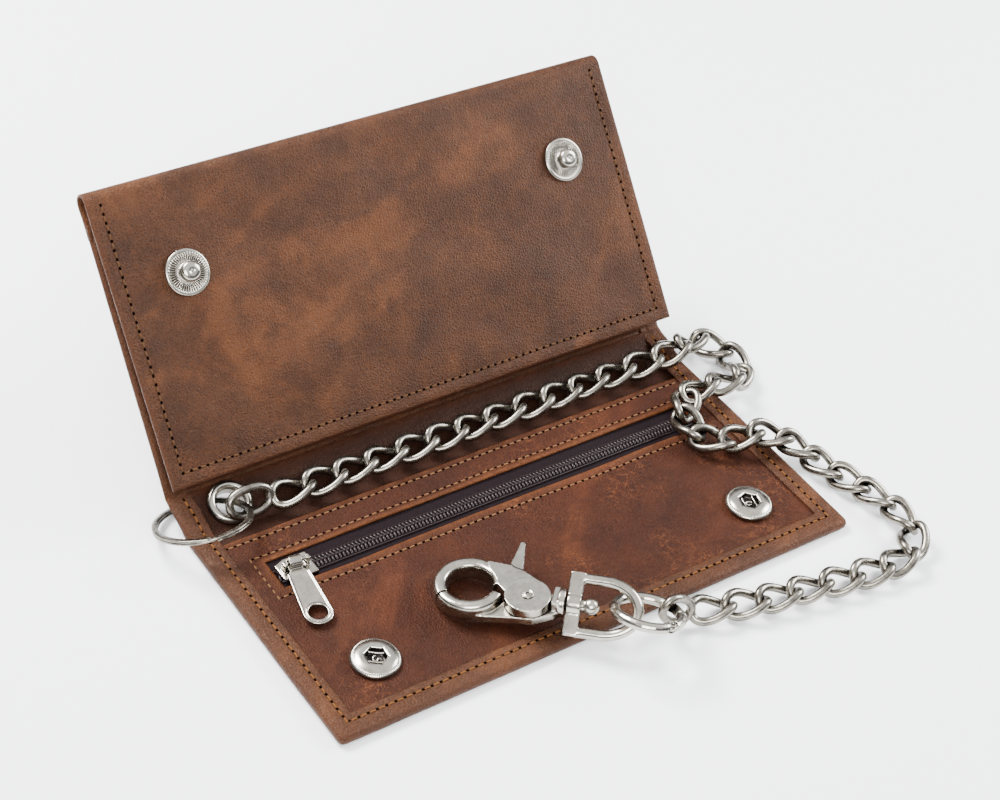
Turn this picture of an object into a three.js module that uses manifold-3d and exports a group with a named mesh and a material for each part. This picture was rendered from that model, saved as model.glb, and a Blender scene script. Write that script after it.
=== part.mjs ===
// A chain wallet in three leather panels, lying open: the base with its zip pocket, the back leaning behind it,
// and the flap that hangs from the back's top fold. A curb chain joins the eyelet to a trigger hook.
import * as THREE from 'three';
import { mergeVertices } from 'three/addons/utils/BufferGeometryUtils.js';
import Module from 'manifold-3d';

const wasm = await Module();
wasm.setup();

// Driving dimensions, in millimetres and degrees.
const walletWidth = 185;
const baseDepth = 86.5;
const hingeDepth = 15.5;
const hingeSlope = 24;
const backLean = 50.7;
const backLength = 89.3;
const flapLean = 48.7;
const flapLength = 87;
const flapInset = 0.5;
const foldRadius = 3.2;
const outerLeather = 0.9;
const panelLeather = 0.65;
const liningLeather = 0.6;
const pocketFabric = 0.2;
const hemWidth = 8;
const layerGap = 0.1;
const jointGap = 0.38;
const lipSetback = 1.5;
const runGap = 0.3;

const zipFromHinge = 24.7;
const zipWindowFront = 5;
const zipWindowRear = 6.6;
const zipWindowHalf = 77;
const zipTapeWidth = 11.5;
const zipTape = 0.25;
const zipToothGap = 1.2;
const coilWidth = 1.6;
const coilHeight = 1.2;
const sliderLength = 11;
const sliderWidth = 8.6;
const sliderPlate = 0.4;
const sliderTop = 0.7;
const sliderFromEnd = 6.5;
const crownBarRadius = 0.6;
const pullerEyeRadius = 1.9;
const pullerLength = 23.4;
const pullerWidth = 8;
const pullerPlate = 1.2;
const pullerHole = 2.7;
const pullerYaw = -9.4;
const pullerDroop = 3;

const snapInset = 24;
const snapFromFront = 21;
const snapFromFold = 27;
const socketRadius = 7.4;
const socketHeight = 2.2;
const studRadius = 6.8;
const studPost = 2.4;
const studHeight = 4.4;
const snapBackRadius = 5.5;
const snapStem = 1.6;

const eyeletInset = 17.5;
const eyeletAlong = 7.9;
const eyeletHole = 4.5;
const eyeletRadius = 7;
const eyeletRim = 1.5;
const splitRingRadius = 15;
const splitRingBand = 1.8;
const splitRingHeight = 1.6;
const splitRingTilt = -23;
const splitRingHang = 26;

const hookRing = 6.7;
const hookBand = 3.9;
const hookThickness = 6;
const rivetAlong = 17.4;
const rivetAside = -1.9;
const rivetRadius = 1.2;
const bossRadius = 6.8;
const collarAlong = 26.3;
const postRadius = 1.9;
const eyeBar = 4.4;
const eyeHalfWidth = 7.8;
const eyeWire = 3.3;
const eyeLength = 19.3;
const hookPlace = [-32.3, 28.2];
const hookYaw = -46;
const hookPitch = 6.9;
const eyeRoll = 36.9;

const gateRingRadius = 9.8;
const gateRingWire = 3.2;
const gateRingPlace = [4.25, -8.2, 13.6];
const gateRingTilt = [-15, 15];
const gateStart = -91;
const gateSweep = 54;
const pinRadius = 0.6;
const earHalf = 0.85;
const tongueHalf = 0.55;
const earTop = 1.3;

const linkPitch = 11.5;
const linkWire = 2.3;
const linkWidth = 9.6;
const chainTube = 7.6;
const chainSides = 8;

const degrees = THREE.MathUtils.degToRad;

// Heights of the base's layers above the surface that it lies on.
const liningLow = outerLeather + layerGap;
const sliderLow = liningLow + pocketFabric + layerGap;
const tapeLow = sliderLow + sliderPlate + layerGap;
const tapeTop = tapeLow + zipTape;
const panelLow = tapeTop + layerGap;
const panelTop = panelLow + panelLeather;
const lipLow = panelTop + layerGap;
const baseHeight = lipLow + outerLeather - 0.2;
const hingeLiningTop = liningLow + liningLeather;
const halfWidth = walletWidth / 2;
const zipCentreY = baseDepth - zipFromHinge;
const sliderX = sliderFromEnd - zipWindowHalf;
const eyeletX = eyeletInset - halfWidth;

// Materials, one for each kind of surface.
function finish(color, roughness, metalness) {
  return new THREE.MeshStandardMaterial({ color, roughness, metalness });
}
const pullUpLeather = finish(0x5c3524, 0.5, 0);
const panelBrown = finish(0x6a3a2a, 0.55, 0);
const liningBrown = finish(0x3a231c, 0.65, 0);
const pocketCloth = finish(0x2c2226, 0.9, 0);
const zipCloth = finish(0x32222a, 0.85, 0);
const zipNylon = finish(0x241a20, 0.5, 0);
const nickel = finish(0xc9c6bf, 0.28, 1);
const chainSteel = finish(0xa9a59c, 0.32, 1);

// Solids: geometry to manifold and back, so that pieces can be joined and cut.
function toSolid(geometry) {
  const bare = new THREE.BufferGeometry();
  bare.setAttribute('position', geometry.toNonIndexed().getAttribute('position'));
  const merged = mergeVertices(bare, 1e-4);
  return new wasm.Manifold(new wasm.Mesh({
    numProp: 3,
    vertProperties: merged.attributes.position.array,
    triVerts: new Uint32Array(merged.index.array),
  }));
}

function toGeometry(solid) {
  const mesh = solid.getMesh();
  const geometry = new THREE.BufferGeometry();
  geometry.setAttribute('position', new THREE.BufferAttribute(mesh.vertProperties, 3));
  geometry.setIndex(new THREE.BufferAttribute(mesh.triVerts, 1));
  geometry.computeVertexNormals();
  return geometry;
}

function indexed(geometry) {
  return geometry.index ? geometry : mergeVertices(geometry);
}

function join(...parts) {
  return toGeometry(parts.map((part) => toSolid(indexed(part))).reduce((all, one) => all.add(one)));
}

function common(body, other) {
  return toGeometry(toSolid(indexed(body)).intersect(toSolid(indexed(other))));
}

function cut(body, ...tools) {
  return toGeometry(tools.map((tool) => toSolid(indexed(tool)))
    .reduce((left, tool) => left.subtract(tool), toSolid(indexed(body))));
}

function piece(name, geometry, material) {
  const mesh = new THREE.Mesh(geometry, material);
  mesh.name = name;
  return mesh;
}

// A rectangular sheet or block between two corners.
function slab(x0, x1, y0, y1, z0, z1) {
  const box = new THREE.BoxGeometry(x1 - x0, y1 - y0, z1 - z0);
  return box.translate((x0 + x1) / 2, (y0 + y1) / 2, (z0 + z1) / 2);
}

// A round bar standing on Z at a place, from z0 to z1.
function bar(radius, z0, z1, x = 0, y = 0, sides = 24) {
  const round = new THREE.CylinderGeometry(radius, radius, z1 - z0, sides);
  return round.rotateX(Math.PI / 2).translate(x, y, (z0 + z1) / 2);
}

// An outline in X and Y, given a thickness from z0 to z1.
function plate(outline, z0, z1, holes = []) {
  const shape = new THREE.Shape(outline.map(([x, y]) => new THREE.Vector2(x, y)));
  shape.holes = holes.map((hole) => new THREE.Path(hole.map(([x, y]) => new THREE.Vector2(x, y))));
  return new THREE.ExtrudeGeometry(shape, { depth: z1 - z0, bevelEnabled: false }).translate(0, 0, z0);
}

// A solid of revolution about Z from its half outline of radius and height, which closes on itself.
function turned(outline, sides = 32) {
  const points = outline.map(([radius, height]) => new THREE.Vector2(radius, height));
  return new THREE.LatheGeometry([...points, points[0]], sides).rotateX(Math.PI / 2);
}

// A bar of round section along a curve.
function tube(curve, radius, steps, sides, closed = false) {
  const section = new THREE.Shape();
  for (let side = 0; side < sides; side += 1) {
    const turn = 2 * Math.PI * (side + 0.5) / sides;
    const point = [radius * Math.cos(turn), radius * Math.sin(turn)];
    if (side === 0) section.moveTo(...point);
    else section.lineTo(...point);
  }
  section.closePath();
  curve.closed = closed;
  return new THREE.ExtrudeGeometry(section, { extrudePath: curve, steps, bevelEnabled: false });
}

// A layer of the base that follows the bend of the hinge, between two heights above the outer face.
const bendShift = Math.tan(degrees(hingeSlope / 2));
const slopeY = Math.cos(degrees(hingeSlope));
const slopeZ = Math.sin(degrees(hingeSlope));

function hingePoint(along, height) {
  return [baseDepth + along * slopeY - height * slopeZ, along * slopeZ + height * slopeY];
}

function bentLayer(x0, x1, y0, low, high, along) {
  const outline = [
    [y0, low],
    [baseDepth - low * bendShift, low],
    hingePoint(along, low),
    hingePoint(along, high),
    [baseDepth - high * bendShift, high],
    [y0, high],
  ];
  const shape = plate(outline, x0, x1);
  return shape.applyMatrix4(new THREE.Matrix4().set(0, 0, 1, 0, 1, 0, 0, 0, 0, 1, 0, 0, 0, 0, 0, 1));
}

// Base panel: the outer leather turns up and over at the front and sides, and runs on into the hinge.
function baseLeather() {
  const end = hingeDepth - jointGap;
  const lipEnd = hingeDepth - lipSetback;
  const sheet = bentLayer(-halfWidth, halfWidth, 0, 0, outerLeather, end);
  const turns = [-1, 1].flatMap((side) => {
    const edge = [side * halfWidth, side * (halfWidth - outerLeather)].sort((a, b) => a - b);
    const lip = [side * halfWidth, side * (halfWidth - hemWidth)].sort((a, b) => a - b);
    return [
      bentLayer(edge[0], edge[1], 0, 0, baseHeight, lipEnd),
      bentLayer(lip[0], lip[1], 0, lipLow, baseHeight, lipEnd),
    ];
  });
  const frontEdge = slab(-halfWidth, halfWidth, 0, outerLeather, 0, baseHeight);
  const frontLip = slab(-halfWidth, halfWidth, 0, hemWidth, lipLow, baseHeight);
  const hole = onHinge(bar(eyeletHole + 1 + runGap, -2, 6));
  return cut(join(sheet, ...turns, frontEdge, frontLip), hole);
}

// Moves a shape from the eyelet's own frame to its place on the hinge.
function onHinge(shape) {
  const [y, z] = hingePoint(eyeletAlong, 0);
  return shape.rotateX(degrees(hingeSlope)).translate(eyeletX, y, z);
}

const insideHalf = halfWidth - outerLeather - runGap;
const tuckedY = outerLeather + runGap;
const panelRear = baseDepth - 6.5;

const base = new THREE.Group();
base.add(piece('base_leather', baseLeather(), pullUpLeather));

const pocketRear = panelRear - 2;
const pocketHalf = insideHalf - 4;
base.add(piece(
  'pocket_lining',
  slab(-pocketHalf, pocketHalf, hemWidth, pocketRear, liningLow, liningLow + pocketFabric),
  pocketCloth,
));

const hingeLining = cut(
  bentLayer(-insideHalf, insideHalf, pocketRear + 0.5, liningLow, hingeLiningTop, hingeDepth - jointGap),
  onHinge(bar(eyeletHole + 1 + runGap, -2, 6)),
);
base.add(piece('hinge_lining', hingeLining, liningBrown));

const snapPlaces = [['left', -(halfWidth - snapInset)], ['right', halfWidth - snapInset]];

function zipPanel() {
  const sheet = slab(-insideHalf, insideHalf, tuckedY, panelRear, panelLow, panelTop);
  const windowCut = slab(
    -zipWindowHalf,
    zipWindowHalf,
    zipCentreY - zipWindowFront,
    zipCentreY + zipWindowRear,
    panelLow - 1,
    panelTop + 1,
  );
  const stemHoles = snapPlaces.map(([, x]) => (
    bar(snapStem + runGap, panelLow - 1, panelTop + 1, x, snapFromFront)
  ));
  return cut(sheet, windowCut, ...stemHoles);
}
base.add(piece('zip_pocket_panel', zipPanel(), panelBrown));

// The zip: two tapes, a row of nylon coil on each, and a slider that holds both.
const tapeHalf = zipWindowHalf + 4;
const coilHalf = zipWindowHalf - runGap;
for (const [name, side] of [['rear', 1], ['front', -1]]) {
  const near = zipCentreY + side * zipToothGap / 2;
  const tapeY = [near, near + side * zipTapeWidth].sort((a, b) => a - b);
  const coilY = [near, near + side * coilWidth].sort((a, b) => a - b);
  const tape = slab(-tapeHalf, tapeHalf, tapeY[0], tapeY[1], tapeLow, tapeTop);
  const coilLow = tapeTop + layerGap;
  const coil = slab(-coilHalf, coilHalf, coilY[0], coilY[1], coilLow, coilLow + coilHeight);
  base.add(piece(`zip_tape_${name}`, tape, zipCloth));
  base.add(piece(`zip_coil_${name}`, coil, zipNylon));
}

const sliderTopLow = tapeTop + coilHeight + 2 * layerGap;
const sliderTopHigh = sliderTopLow + sliderTop;
const crownAxis = sliderTopHigh + pullerEyeRadius + runGap;

function zipSlider() {
  const halfLength = sliderLength / 2;
  const halfSide = sliderWidth / 2;
  const flange = 0.8;
  const outline = [
    [-halfLength, -halfSide * 0.7], [-halfLength * 0.4, -halfSide], [halfLength, -halfSide],
    [halfLength, halfSide], [-halfLength * 0.4, halfSide], [-halfLength, halfSide * 0.7],
  ];
  const post = slab(-1.6, 1.6, -0.3, 0.3, sliderLow, sliderTopHigh);
  const flanges = [-1, 1].map((side) => slab(
    -halfLength * 0.4,
    halfLength,
    Math.min(side * halfSide, side * (halfSide - flange)),
    Math.max(side * halfSide, side * (halfSide - flange)),
    tapeTop + runGap,
    sliderTopHigh,
  ));
  const crownBar = bar(crownBarRadius, -4.4, 4, 0, 0, 16).rotateY(Math.PI / 2).translate(0, 0, crownAxis);
  const posts = [-4.4, 3.2].map((x) => slab(x, x + 1.2, -1, 1, sliderTopLow, crownAxis + crownBarRadius));
  return join(
    plate(outline, sliderLow, sliderLow + sliderPlate),
    plate(outline, sliderTopLow, sliderTopHigh),
    post,
    ...flanges,
    crownBar,
    ...posts,
  );
}
const slider = new THREE.Group();
slider.position.set(sliderX, zipCentreY, 0);
slider.add(piece('zip_slider', zipSlider(), nickel));

function zipPuller() {
  const eyeHalf = 1.9;
  const halfSide = pullerWidth / 2;
  const plateTop = -pullerEyeRadius + pullerPlate;
  const eye = bar(pullerEyeRadius, -eyeHalf, eyeHalf, 0, 0, 20).rotateY(Math.PI / 2);
  const bore = bar(crownBarRadius + 0.4, -eyeHalf - 1, eyeHalf + 1, 0, 0, 16).rotateY(Math.PI / 2);
  const tip = [];
  for (let step = 0; step <= 8; step += 1) {
    const turn = Math.PI * step / 8;
    tip.push([-halfSide * Math.cos(turn), -pullerLength + halfSide - halfSide * Math.sin(turn)]);
  }
  const outline = [[-eyeHalf, 0], [-eyeHalf, -2.4], [-halfSide + 0.9, -3.6], ...tip,
    [halfSide - 0.9, -3.6], [eyeHalf, -2.4], [eyeHalf, 0]];
  const tab = plate(outline, -pullerEyeRadius, plateTop);
  const hole = bar(pullerHole, -pullerEyeRadius - 1, plateTop + 1, 0, -pullerLength + halfSide, 20);
  return cut(join(eye, tab), bore, hole);
}
const puller = new THREE.Group();
puller.position.set(-0.6, 0, crownAxis);
puller.rotation.set(degrees(pullerDroop), 0, degrees(pullerYaw), 'ZXY');
puller.add(piece('zip_puller', zipPuller(), nickel));
slider.add(puller);
base.add(slider);

// Snap sockets on the base, each clenched by a stem from a disc behind the leather.
function snapSocket() {
  const top = socketHeight;
  const dome = turned([
    [0, 0], [socketRadius, 0], [socketRadius, 0.7], [socketRadius - 0.8, 1.5], [4.6, top], [0, top],
  ]);
  const spring = bar(3.2, 0.6, top + 1, 0, 0, 6);
  return cut(dome, spring);
}
for (const [name, x] of snapPlaces) {
  const socket = piece(`snap_socket_${name}`, snapSocket(), nickel);
  socket.position.set(x, snapFromFront, panelTop + layerGap);
  base.add(socket);
  const discLow = sliderLow;
  const disc = bar(snapBackRadius, discLow, panelLow - layerGap, x, snapFromFront);
  const stem = bar(snapStem, discLow, panelTop, x, snapFromFront);
  base.add(piece(`socket_back_${name}`, join(disc, stem), nickel));
}

// Eyelet through the hinge, with its washer below, and the split ring that runs through it.
function eyeletFront() {
  const low = hingeLiningTop + layerGap;
  const inner = eyeletHole;
  return onHinge(turned([
    [inner, -0.6], [inner + 0.7, -0.6], [inner + 0.7, low], [eyeletRadius, low],
    [eyeletRadius, low + 0.5], [eyeletRadius - 1.1, low + eyeletRim],
    [inner + 0.9, low + eyeletRim], [inner, low + 0.6],
  ]));
}
base.add(piece('eyelet', eyeletFront(), nickel));
const washerTop = -layerGap;
base.add(piece('eyelet_washer', onHinge(turned([
  [eyeletHole + 0.7 + runGap, washerTop - 0.5], [eyeletRadius - 0.5, washerTop - 0.5],
  [eyeletRadius - 0.5, washerTop], [eyeletHole + 0.7 + runGap, washerTop],
])), nickel));

function splitRing() {
  const outer = splitRingRadius;
  const inner = splitRingRadius - splitRingBand;
  const half = splitRingHeight / 2;
  return turned([
    [inner, -half], [outer, -half], [outer, -0.15], [outer - 0.4, 0], [outer, 0.15],
    [outer, half], [inner, half],
  ], 40);
}
const splitRingMiddle = splitRingRadius - splitRingBand / 2;
const splitRingPlace = new THREE.Vector3(
  eyeletX + 0.9 - splitRingMiddle * Math.cos(degrees(splitRingHang)),
  hingePoint(eyeletAlong, 0)[0] - splitRingMiddle * Math.sin(degrees(splitRingHang)) * Math.cos(degrees(splitRingTilt)),
  splitRingRadius * Math.sin(degrees(-splitRingTilt)) + splitRingHeight / 2 + 0.2,
);
const ring = piece('split_ring', splitRing(), nickel);
ring.position.copy(splitRingPlace);
ring.rotation.x = degrees(splitRingTilt);

// Back panel, in a frame on the hinge axis: Y runs up the panel and Z towards the flap.
const [hingeAxisY, hingeAxisZ] = hingePoint(hingeDepth, hingeLiningTop);
const back = new THREE.Group();
back.position.set(0, hingeAxisY, hingeAxisZ);
back.rotation.x = degrees(backLean);

const backLow = -hingeLiningTop;
const foldAxisZ = backLow + foldRadius;
const foldLegLength = 9;

function backLeather() {
  const top = backLength - runGap;
  const lipTop = layerGap + outerLeather - 0.2;
  const sheet = slab(-halfWidth, halfWidth, jointGap, top, backLow, backLow + outerLeather);
  const turns = [-1, 1].flatMap((side) => {
    const edge = [side * halfWidth, side * (halfWidth - outerLeather)].sort((a, b) => a - b);
    const lip = [side * halfWidth, side * (halfWidth - hemWidth)].sort((a, b) => a - b);
    return [
      slab(edge[0], edge[1], lipSetback, top - foldLegLength - 1, backLow, lipTop),
      slab(lip[0], lip[1], lipSetback, top - foldLegLength - 1, layerGap, lipTop),
    ];
  });
  return join(sheet, ...turns);
}
back.add(piece('back_leather', backLeather(), pullUpLeather));

const backLiningTop = backLength - foldLegLength - 1;
back.add(piece(
  'back_lining',
  slab(-insideHalf, insideHalf, jointGap, backLiningTop, -liningLeather, 0),
  liningBrown,
));

const pocketInset = hemWidth + runGap;
const billTop = layerGap + 0.5;
back.add(piece(
  'bill_pocket',
  slab(-halfWidth + pocketInset, halfWidth - pocketInset, 4, 74, layerGap, billTop),
  liningBrown,
));

// Card slots in two columns, the front one shorter, so that each card shows above it.
const slotSheet = 0.4;
const slotGap = 4;
const slotHeights = [['rear', 60], ['front', 46]];
for (const [column, side] of [['left', -1], ['right', 1]]) {
  slotHeights.forEach(([row, top], index) => {
    const inner = side * slotGap / 2;
    const outer = side * (halfWidth - pocketInset);
    const low = billTop + layerGap + index * (slotSheet + layerGap);
    const sheet = slab(Math.min(inner, outer), Math.max(inner, outer), 5, top, low, low + slotSheet);
    back.add(piece(`card_slot_${column}_${row}`, sheet, liningBrown));
  });
}

// The lining that rolls over the top fold, inside the outer leather.
function foldLining() {
  const outer = foldRadius - outerLeather - runGap;
  const inner = outer - liningLeather;
  const steps = 10;
  const arc = (radius) => Array.from({ length: steps + 1 }, (_, step) => {
    const turn = Math.PI * step / steps;
    return [backLength + radius * Math.sin(turn), foldAxisZ - radius * Math.cos(turn)];
  });
  const outline = [
    [backLength - foldLegLength, foldAxisZ - outer], ...arc(outer),
    ...arc(inner).reverse(), [backLength - foldLegLength, foldAxisZ - inner],
  ];
  const half = halfWidth - flapInset - outerLeather;
  const profile = plate(outline, -half, half);
  return profile.applyMatrix4(new THREE.Matrix4().set(0, 0, 1, 0, 1, 0, 0, 0, 0, 1, 0, 0, 0, 0, 0, 1));
}
back.add(piece('fold_lining', foldLining(), liningBrown));

// Flap, in a frame on the fold axis: Y runs down the flap and Z towards the back panel.
const flap = new THREE.Group();
flap.position.set(0, backLength, foldAxisZ);
flap.rotation.x = degrees(180 + flapLean - backLean);

const flapHalf = halfWidth - flapInset;
const flapLiningLow = -foldRadius + outerLeather + layerGap;
const flapLiningTop = flapLiningLow + liningLeather;
const studHoles = snapPlaces.map(([, x]) => bar(snapStem + runGap, -foldRadius - 1, 1, x, snapFromFold));
flap.add(piece('flap_leather', cut(
  slab(-flapHalf, flapHalf, runGap, flapLength, -foldRadius, -foldRadius + outerLeather),
  ...studHoles,
), pullUpLeather));
flap.add(piece('flap_lining', cut(
  slab(-flapHalf, flapHalf, 2.2, flapLength, flapLiningLow, flapLiningTop),
  ...studHoles,
), liningBrown));

// Snap studs stand on the flap's face, held by a domed disc on the lining.
function snapStud() {
  return turned([
    [0, 0], [studRadius, 0], [studRadius, 0.5], [studRadius - 1, 0.9], [studPost + 0.5, 0.9],
    [studPost - 0.3, 1.6], [studPost - 0.3, 2.6], [studPost, 3.4], [studPost - 0.5, studHeight - 0.3],
    [studPost - 1.4, studHeight], [0, studHeight],
  ]);
}

function studBack() {
  const high = 1.3;
  const reach = foldRadius + flapLiningTop + layerGap;
  return turned([
    [0, 0], [snapStem, 0], [snapStem, reach], [snapBackRadius, reach], [snapBackRadius, reach + 0.5],
    [snapBackRadius - 1.5, reach + high], [0, reach + high],
  ]);
}
for (const [name, x] of snapPlaces) {
  const stud = piece(`snap_stud_${name}`, snapStud(), nickel);
  stud.position.set(x, snapFromFold, -foldRadius - layerGap);
  stud.rotation.x = Math.PI;
  const backDisc = piece(`stud_back_${name}`, studBack(), nickel);
  backDisc.position.set(x, snapFromFold, -foldRadius);
  flap.add(stud, backDisc);
}
back.add(flap);

// Trigger hook, in a frame on its ring's centre: X runs to the swivel, and the jaw is on the +Y side.
const noseAngle = 217;
const ringOuter = hookRing + hookBand;
const halfHook = hookThickness / 2;

function ringSector(from, to, low, high) {
  const steps = Math.max(3, Math.ceil(Math.abs(to - from) / 12));
  const arc = (radius) => Array.from({ length: steps + 1 }, (_, step) => {
    const turn = degrees(from + (to - from) * step / steps);
    return [radius * Math.cos(turn), radius * Math.sin(turn)];
  });
  return plate([...arc(ringOuter), ...arc(hookRing).reverse()], low, high);
}

function hookBody() {
  const split = -0.2;
  const shelf = plate([
    [3, -10.2], [14, -8.6], [20, -8], [collarAlong, -4.2], [collarAlong, 3.4], [21, 3.4],
    [rivetAlong, rivetAside], [10.8, -2.1], [9.6, -2.6], [6, -3.2],
  ], -halfHook, split);
  const shelfBoss = bar(bossRadius - 0.4, -halfHook, split, rivetAlong, rivetAside, 28);
  const bore = bar(rivetRadius + runGap, -halfHook - 1, halfHook + 1, rivetAlong, rivetAside, 20);
  const neck = slab(bossRadius + rivetAlong + runGap, collarAlong + 0.2, -3.8, 3.4, -halfHook, halfHook);
  const along = (shape) => shape.rotateY(Math.PI / 2);
  const collar = along(bar(4.2, collarAlong, collarAlong + 1.9, 0, 0, 20));
  const barEnd = collarAlong + 1.9 + runGap + eyeBar + runGap;
  const post = along(bar(postRadius, collarAlong + 1, barEnd + 1, 0, 0, 16));
  const ball = new THREE.SphereGeometry(2.7, 16, 10).translate(barEnd + 2.5, 0, 0);
  const trimmed = cut(shelf, bar(hookRing, -9, 9, 0, 0, 48));
  const body = join(ringSector(noseAngle + 2, 345, -halfHook, halfHook), trimmed, shelfBoss, neck);
  return join(cut(body, bore), collar, post, ball);
}

function triggerJaw() {
  const low = 0.1;
  const high = halfHook + 0.4;
  const web = cut(plate([
    [1, 10.4], [10.5, 9.2], [11.6, 8.4], [14.6, 7.6], [20, 4.3], [rivetAlong, rivetAside],
    [10.8, rivetAside], [7, 1], [3, 5],
  ], low, high), bar(hookRing, -9, 9, 0, 0, 48));
  const boss = bar(bossRadius, low, high, rivetAlong, rivetAside, 28);
  const spur = plate([[10, 8.6], [11, 19.2], [12, 19.8], [13, 19.2], [14.4, 7.2]], low + 0.4, high - 0.4);
  const bore = bar(rivetRadius + runGap, -halfHook - 1, halfHook + 2, rivetAlong, rivetAside, 20);
  const springSeat = bar(3.1, -1, 1.7, rivetAlong, rivetAside, 24);
  return cut(join(ringSector(5, noseAngle, -halfHook, halfHook), web, boss, spur), bore, springSeat);
}

function jawRivet() {
  const head = halfHook + 0.4 + layerGap;
  return turned([
    [0, -halfHook], [rivetRadius, -halfHook], [rivetRadius, head], [2, head],
    [1.8, head + 0.5], [0, head + 0.5],
  ], 20).translate(rivetAlong, rivetAside, 0);
}

function triggerSpring() {
  return turned([[1.8, 0.1], [2.8, 0.1], [2.8, 1.3], [1.8, 1.3]], 20)
    .translate(rivetAlong, rivetAside, 0);
}

function swivelEye() {
  const start = collarAlong + 1.9 + runGap;
  const half = eyeWire / 2;
  const side = eyeHalfWidth + half;
  const roundStart = start + eyeBar + 6;
  const roundLength = eyeLength - 6;
  const arc = (width, length) => Array.from({ length: 13 }, (_, step) => {
    const turn = Math.PI * step / 12;
    return [roundStart + length * Math.sin(turn), -width * Math.cos(turn)];
  });
  const outer = [[start, -side], ...arc(side, roundLength - 1.2), [start, side]];
  const innerSide = eyeHalfWidth - half;
  const inner = [
    [start + eyeBar, -innerSide],
    ...arc(innerSide, roundLength - 1.2 - eyeWire),
    [start + eyeBar, innerSide],
  ];
  const bore = bar(postRadius + runGap, start - 1, start + eyeBar + 1, 0, 0, 16).rotateY(Math.PI / 2);
  return cut(plate(outer, -half, half, [inner]), bore);
}

const hook = new THREE.Group();
const hookNoseDrop = ringOuter * Math.sin(degrees(hookPitch));
hook.position.set(
  hookPlace[0],
  hookPlace[1],
  panelTop + 0.25 + halfHook * Math.cos(degrees(hookPitch)) + hookNoseDrop,
);
hook.rotation.set(0, degrees(-hookPitch), degrees(hookYaw), 'ZYX');
hook.add(piece('hook_body', hookBody(), nickel));
hook.add(piece('trigger_jaw', triggerJaw(), nickel));
hook.add(piece('jaw_rivet', jawRivet(), nickel));
hook.add(piece('trigger_spring', triggerSpring(), chainSteel));
const swivel = piece('swivel_eye', swivelEye(), nickel);
swivel.rotation.x = degrees(eyeRoll);
hook.add(swivel);

// Spring-gate ring that couples the swivel eye to the chain's last link.
function ringBar(from, sweep, steps) {
  const path = new THREE.Curve();
  path.getPoint = (share) => {
    const turn = degrees(from + sweep * share);
    return new THREE.Vector3(gateRingRadius * Math.cos(turn), gateRingRadius * Math.sin(turn), 0);
  };
  return tube(path, gateRingWire / 2, steps, 10);
}
const gateRing = new THREE.Group();
gateRing.position.set(...gateRingPlace);
gateRing.rotation.set(degrees(gateRingTilt[0]), degrees(gateRingTilt[1]), 0, 'ZYX');

const wireHalf = gateRingWire / 2;
const pinX = gateRingRadius * Math.cos(degrees(gateStart));
const pinY = gateRingRadius * Math.sin(degrees(gateStart));
const gateReach = 2 * gateRingRadius * Math.sin(degrees(gateSweep / 2));
const onPin = (radius, low, high, sides = 20) => bar(radius, low, high, pinX, pinY, sides);

function gateRingBody() {
  const mouth = gateStart + gateSweep;
  const main = ringBar(mouth + 20, 340 - gateSweep, 28);
  const lip = cut(ringBar(mouth - 6, 27, 4), onPin(gateReach + 0.4, -4, 4, 64));
  const ears = join(main, onPin(wireHalf - 0.1, -earTop, earTop));
  const fork = cut(ears, onPin(wireHalf + 0.6, -earHalf, earHalf), onPin(pinRadius + runGap / 2, -4, 4, 16));
  return join(fork, lip);
}

function ringGate() {
  const arm = common(ringBar(gateStart, gateSweep + 6, 8), onPin(gateReach, -4, 4, 64));
  const shoulder = wireHalf + 0.4;
  const thinned = cut(arm, onPin(shoulder, tongueHalf, 4), onPin(shoulder, -4, -tongueHalf));
  return cut(join(thinned, onPin(wireHalf - 0.1, -tongueHalf, tongueHalf)), onPin(pinRadius + runGap, -4, 4, 16));
}
gateRing.add(piece('gate_ring', gateRingBody(), nickel));
gateRing.add(piece('ring_gate', ringGate(), nickel));
gateRing.add(piece('gate_pin', onPin(pinRadius, -earTop, earTop, 16), nickel));

// The chain: its end links are real links, and one tube stands for the links between them.
function oneLink() {
  const path = new THREE.Curve();
  path.getPoint = (share) => {
    const turn = 2 * Math.PI * share;
    const reach = (linkPitch + linkWire) / 2;
    const side = (linkWidth - linkWire) / 2;
    return new THREE.Vector3(reach * Math.cos(turn), side * Math.sin(turn), 0);
  };
  return tube(path, linkWire / 2, 20, 8, true);
}

const floorZ = chainTube / 2 + 0.2;
const panelZ = panelTop + floorZ;
const hemZ = baseHeight + floorZ;
const chainRoute = [
  [-62.4, 87.4, panelZ], [-34, 87.3, panelZ], [0, 87.2, panelZ], [34, 87.2, panelZ], [66, 87.2, panelZ],
  [79, 87, panelZ + 0.4], [88, 86.2, hemZ + 1.2], [96, 88.2, 7.8], [103, 88.6, 4.8], [107.4, 82.5, floorZ],
  [106.4, 73.5, floorZ + 0.4], [100.4, 67.4, 7], [91.5, 66.4, hemZ + 0.8], [82.5, 67.4, hemZ],
  [74.8, 63.2, hemZ], [70.6, 55, hemZ], [73.4, 46.8, panelZ + 0.2], [81, 43.4, hemZ],
  [89.5, 40.2, hemZ + 1], [96.8, 32.8, 6.4], [101.4, 21.5, floorZ], [105.8, 8.6, floorZ],
  [108.4, -3.6, floorZ], [105, -15.4, floorZ], [95, -20.6, floorZ], [80, -20, floorZ],
  [62, -16.8, floorZ], [44, -13.6, floorZ], [33, -10.4, floorZ], [23.8, -8.2, 4.4],
];
const chainCurve = new THREE.CatmullRomCurve3(chainRoute.map((point) => new THREE.Vector3(...point)));
const chain = piece('chain', tube(chainCurve, chainTube / 2, 78, chainSides), chainSteel);

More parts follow.
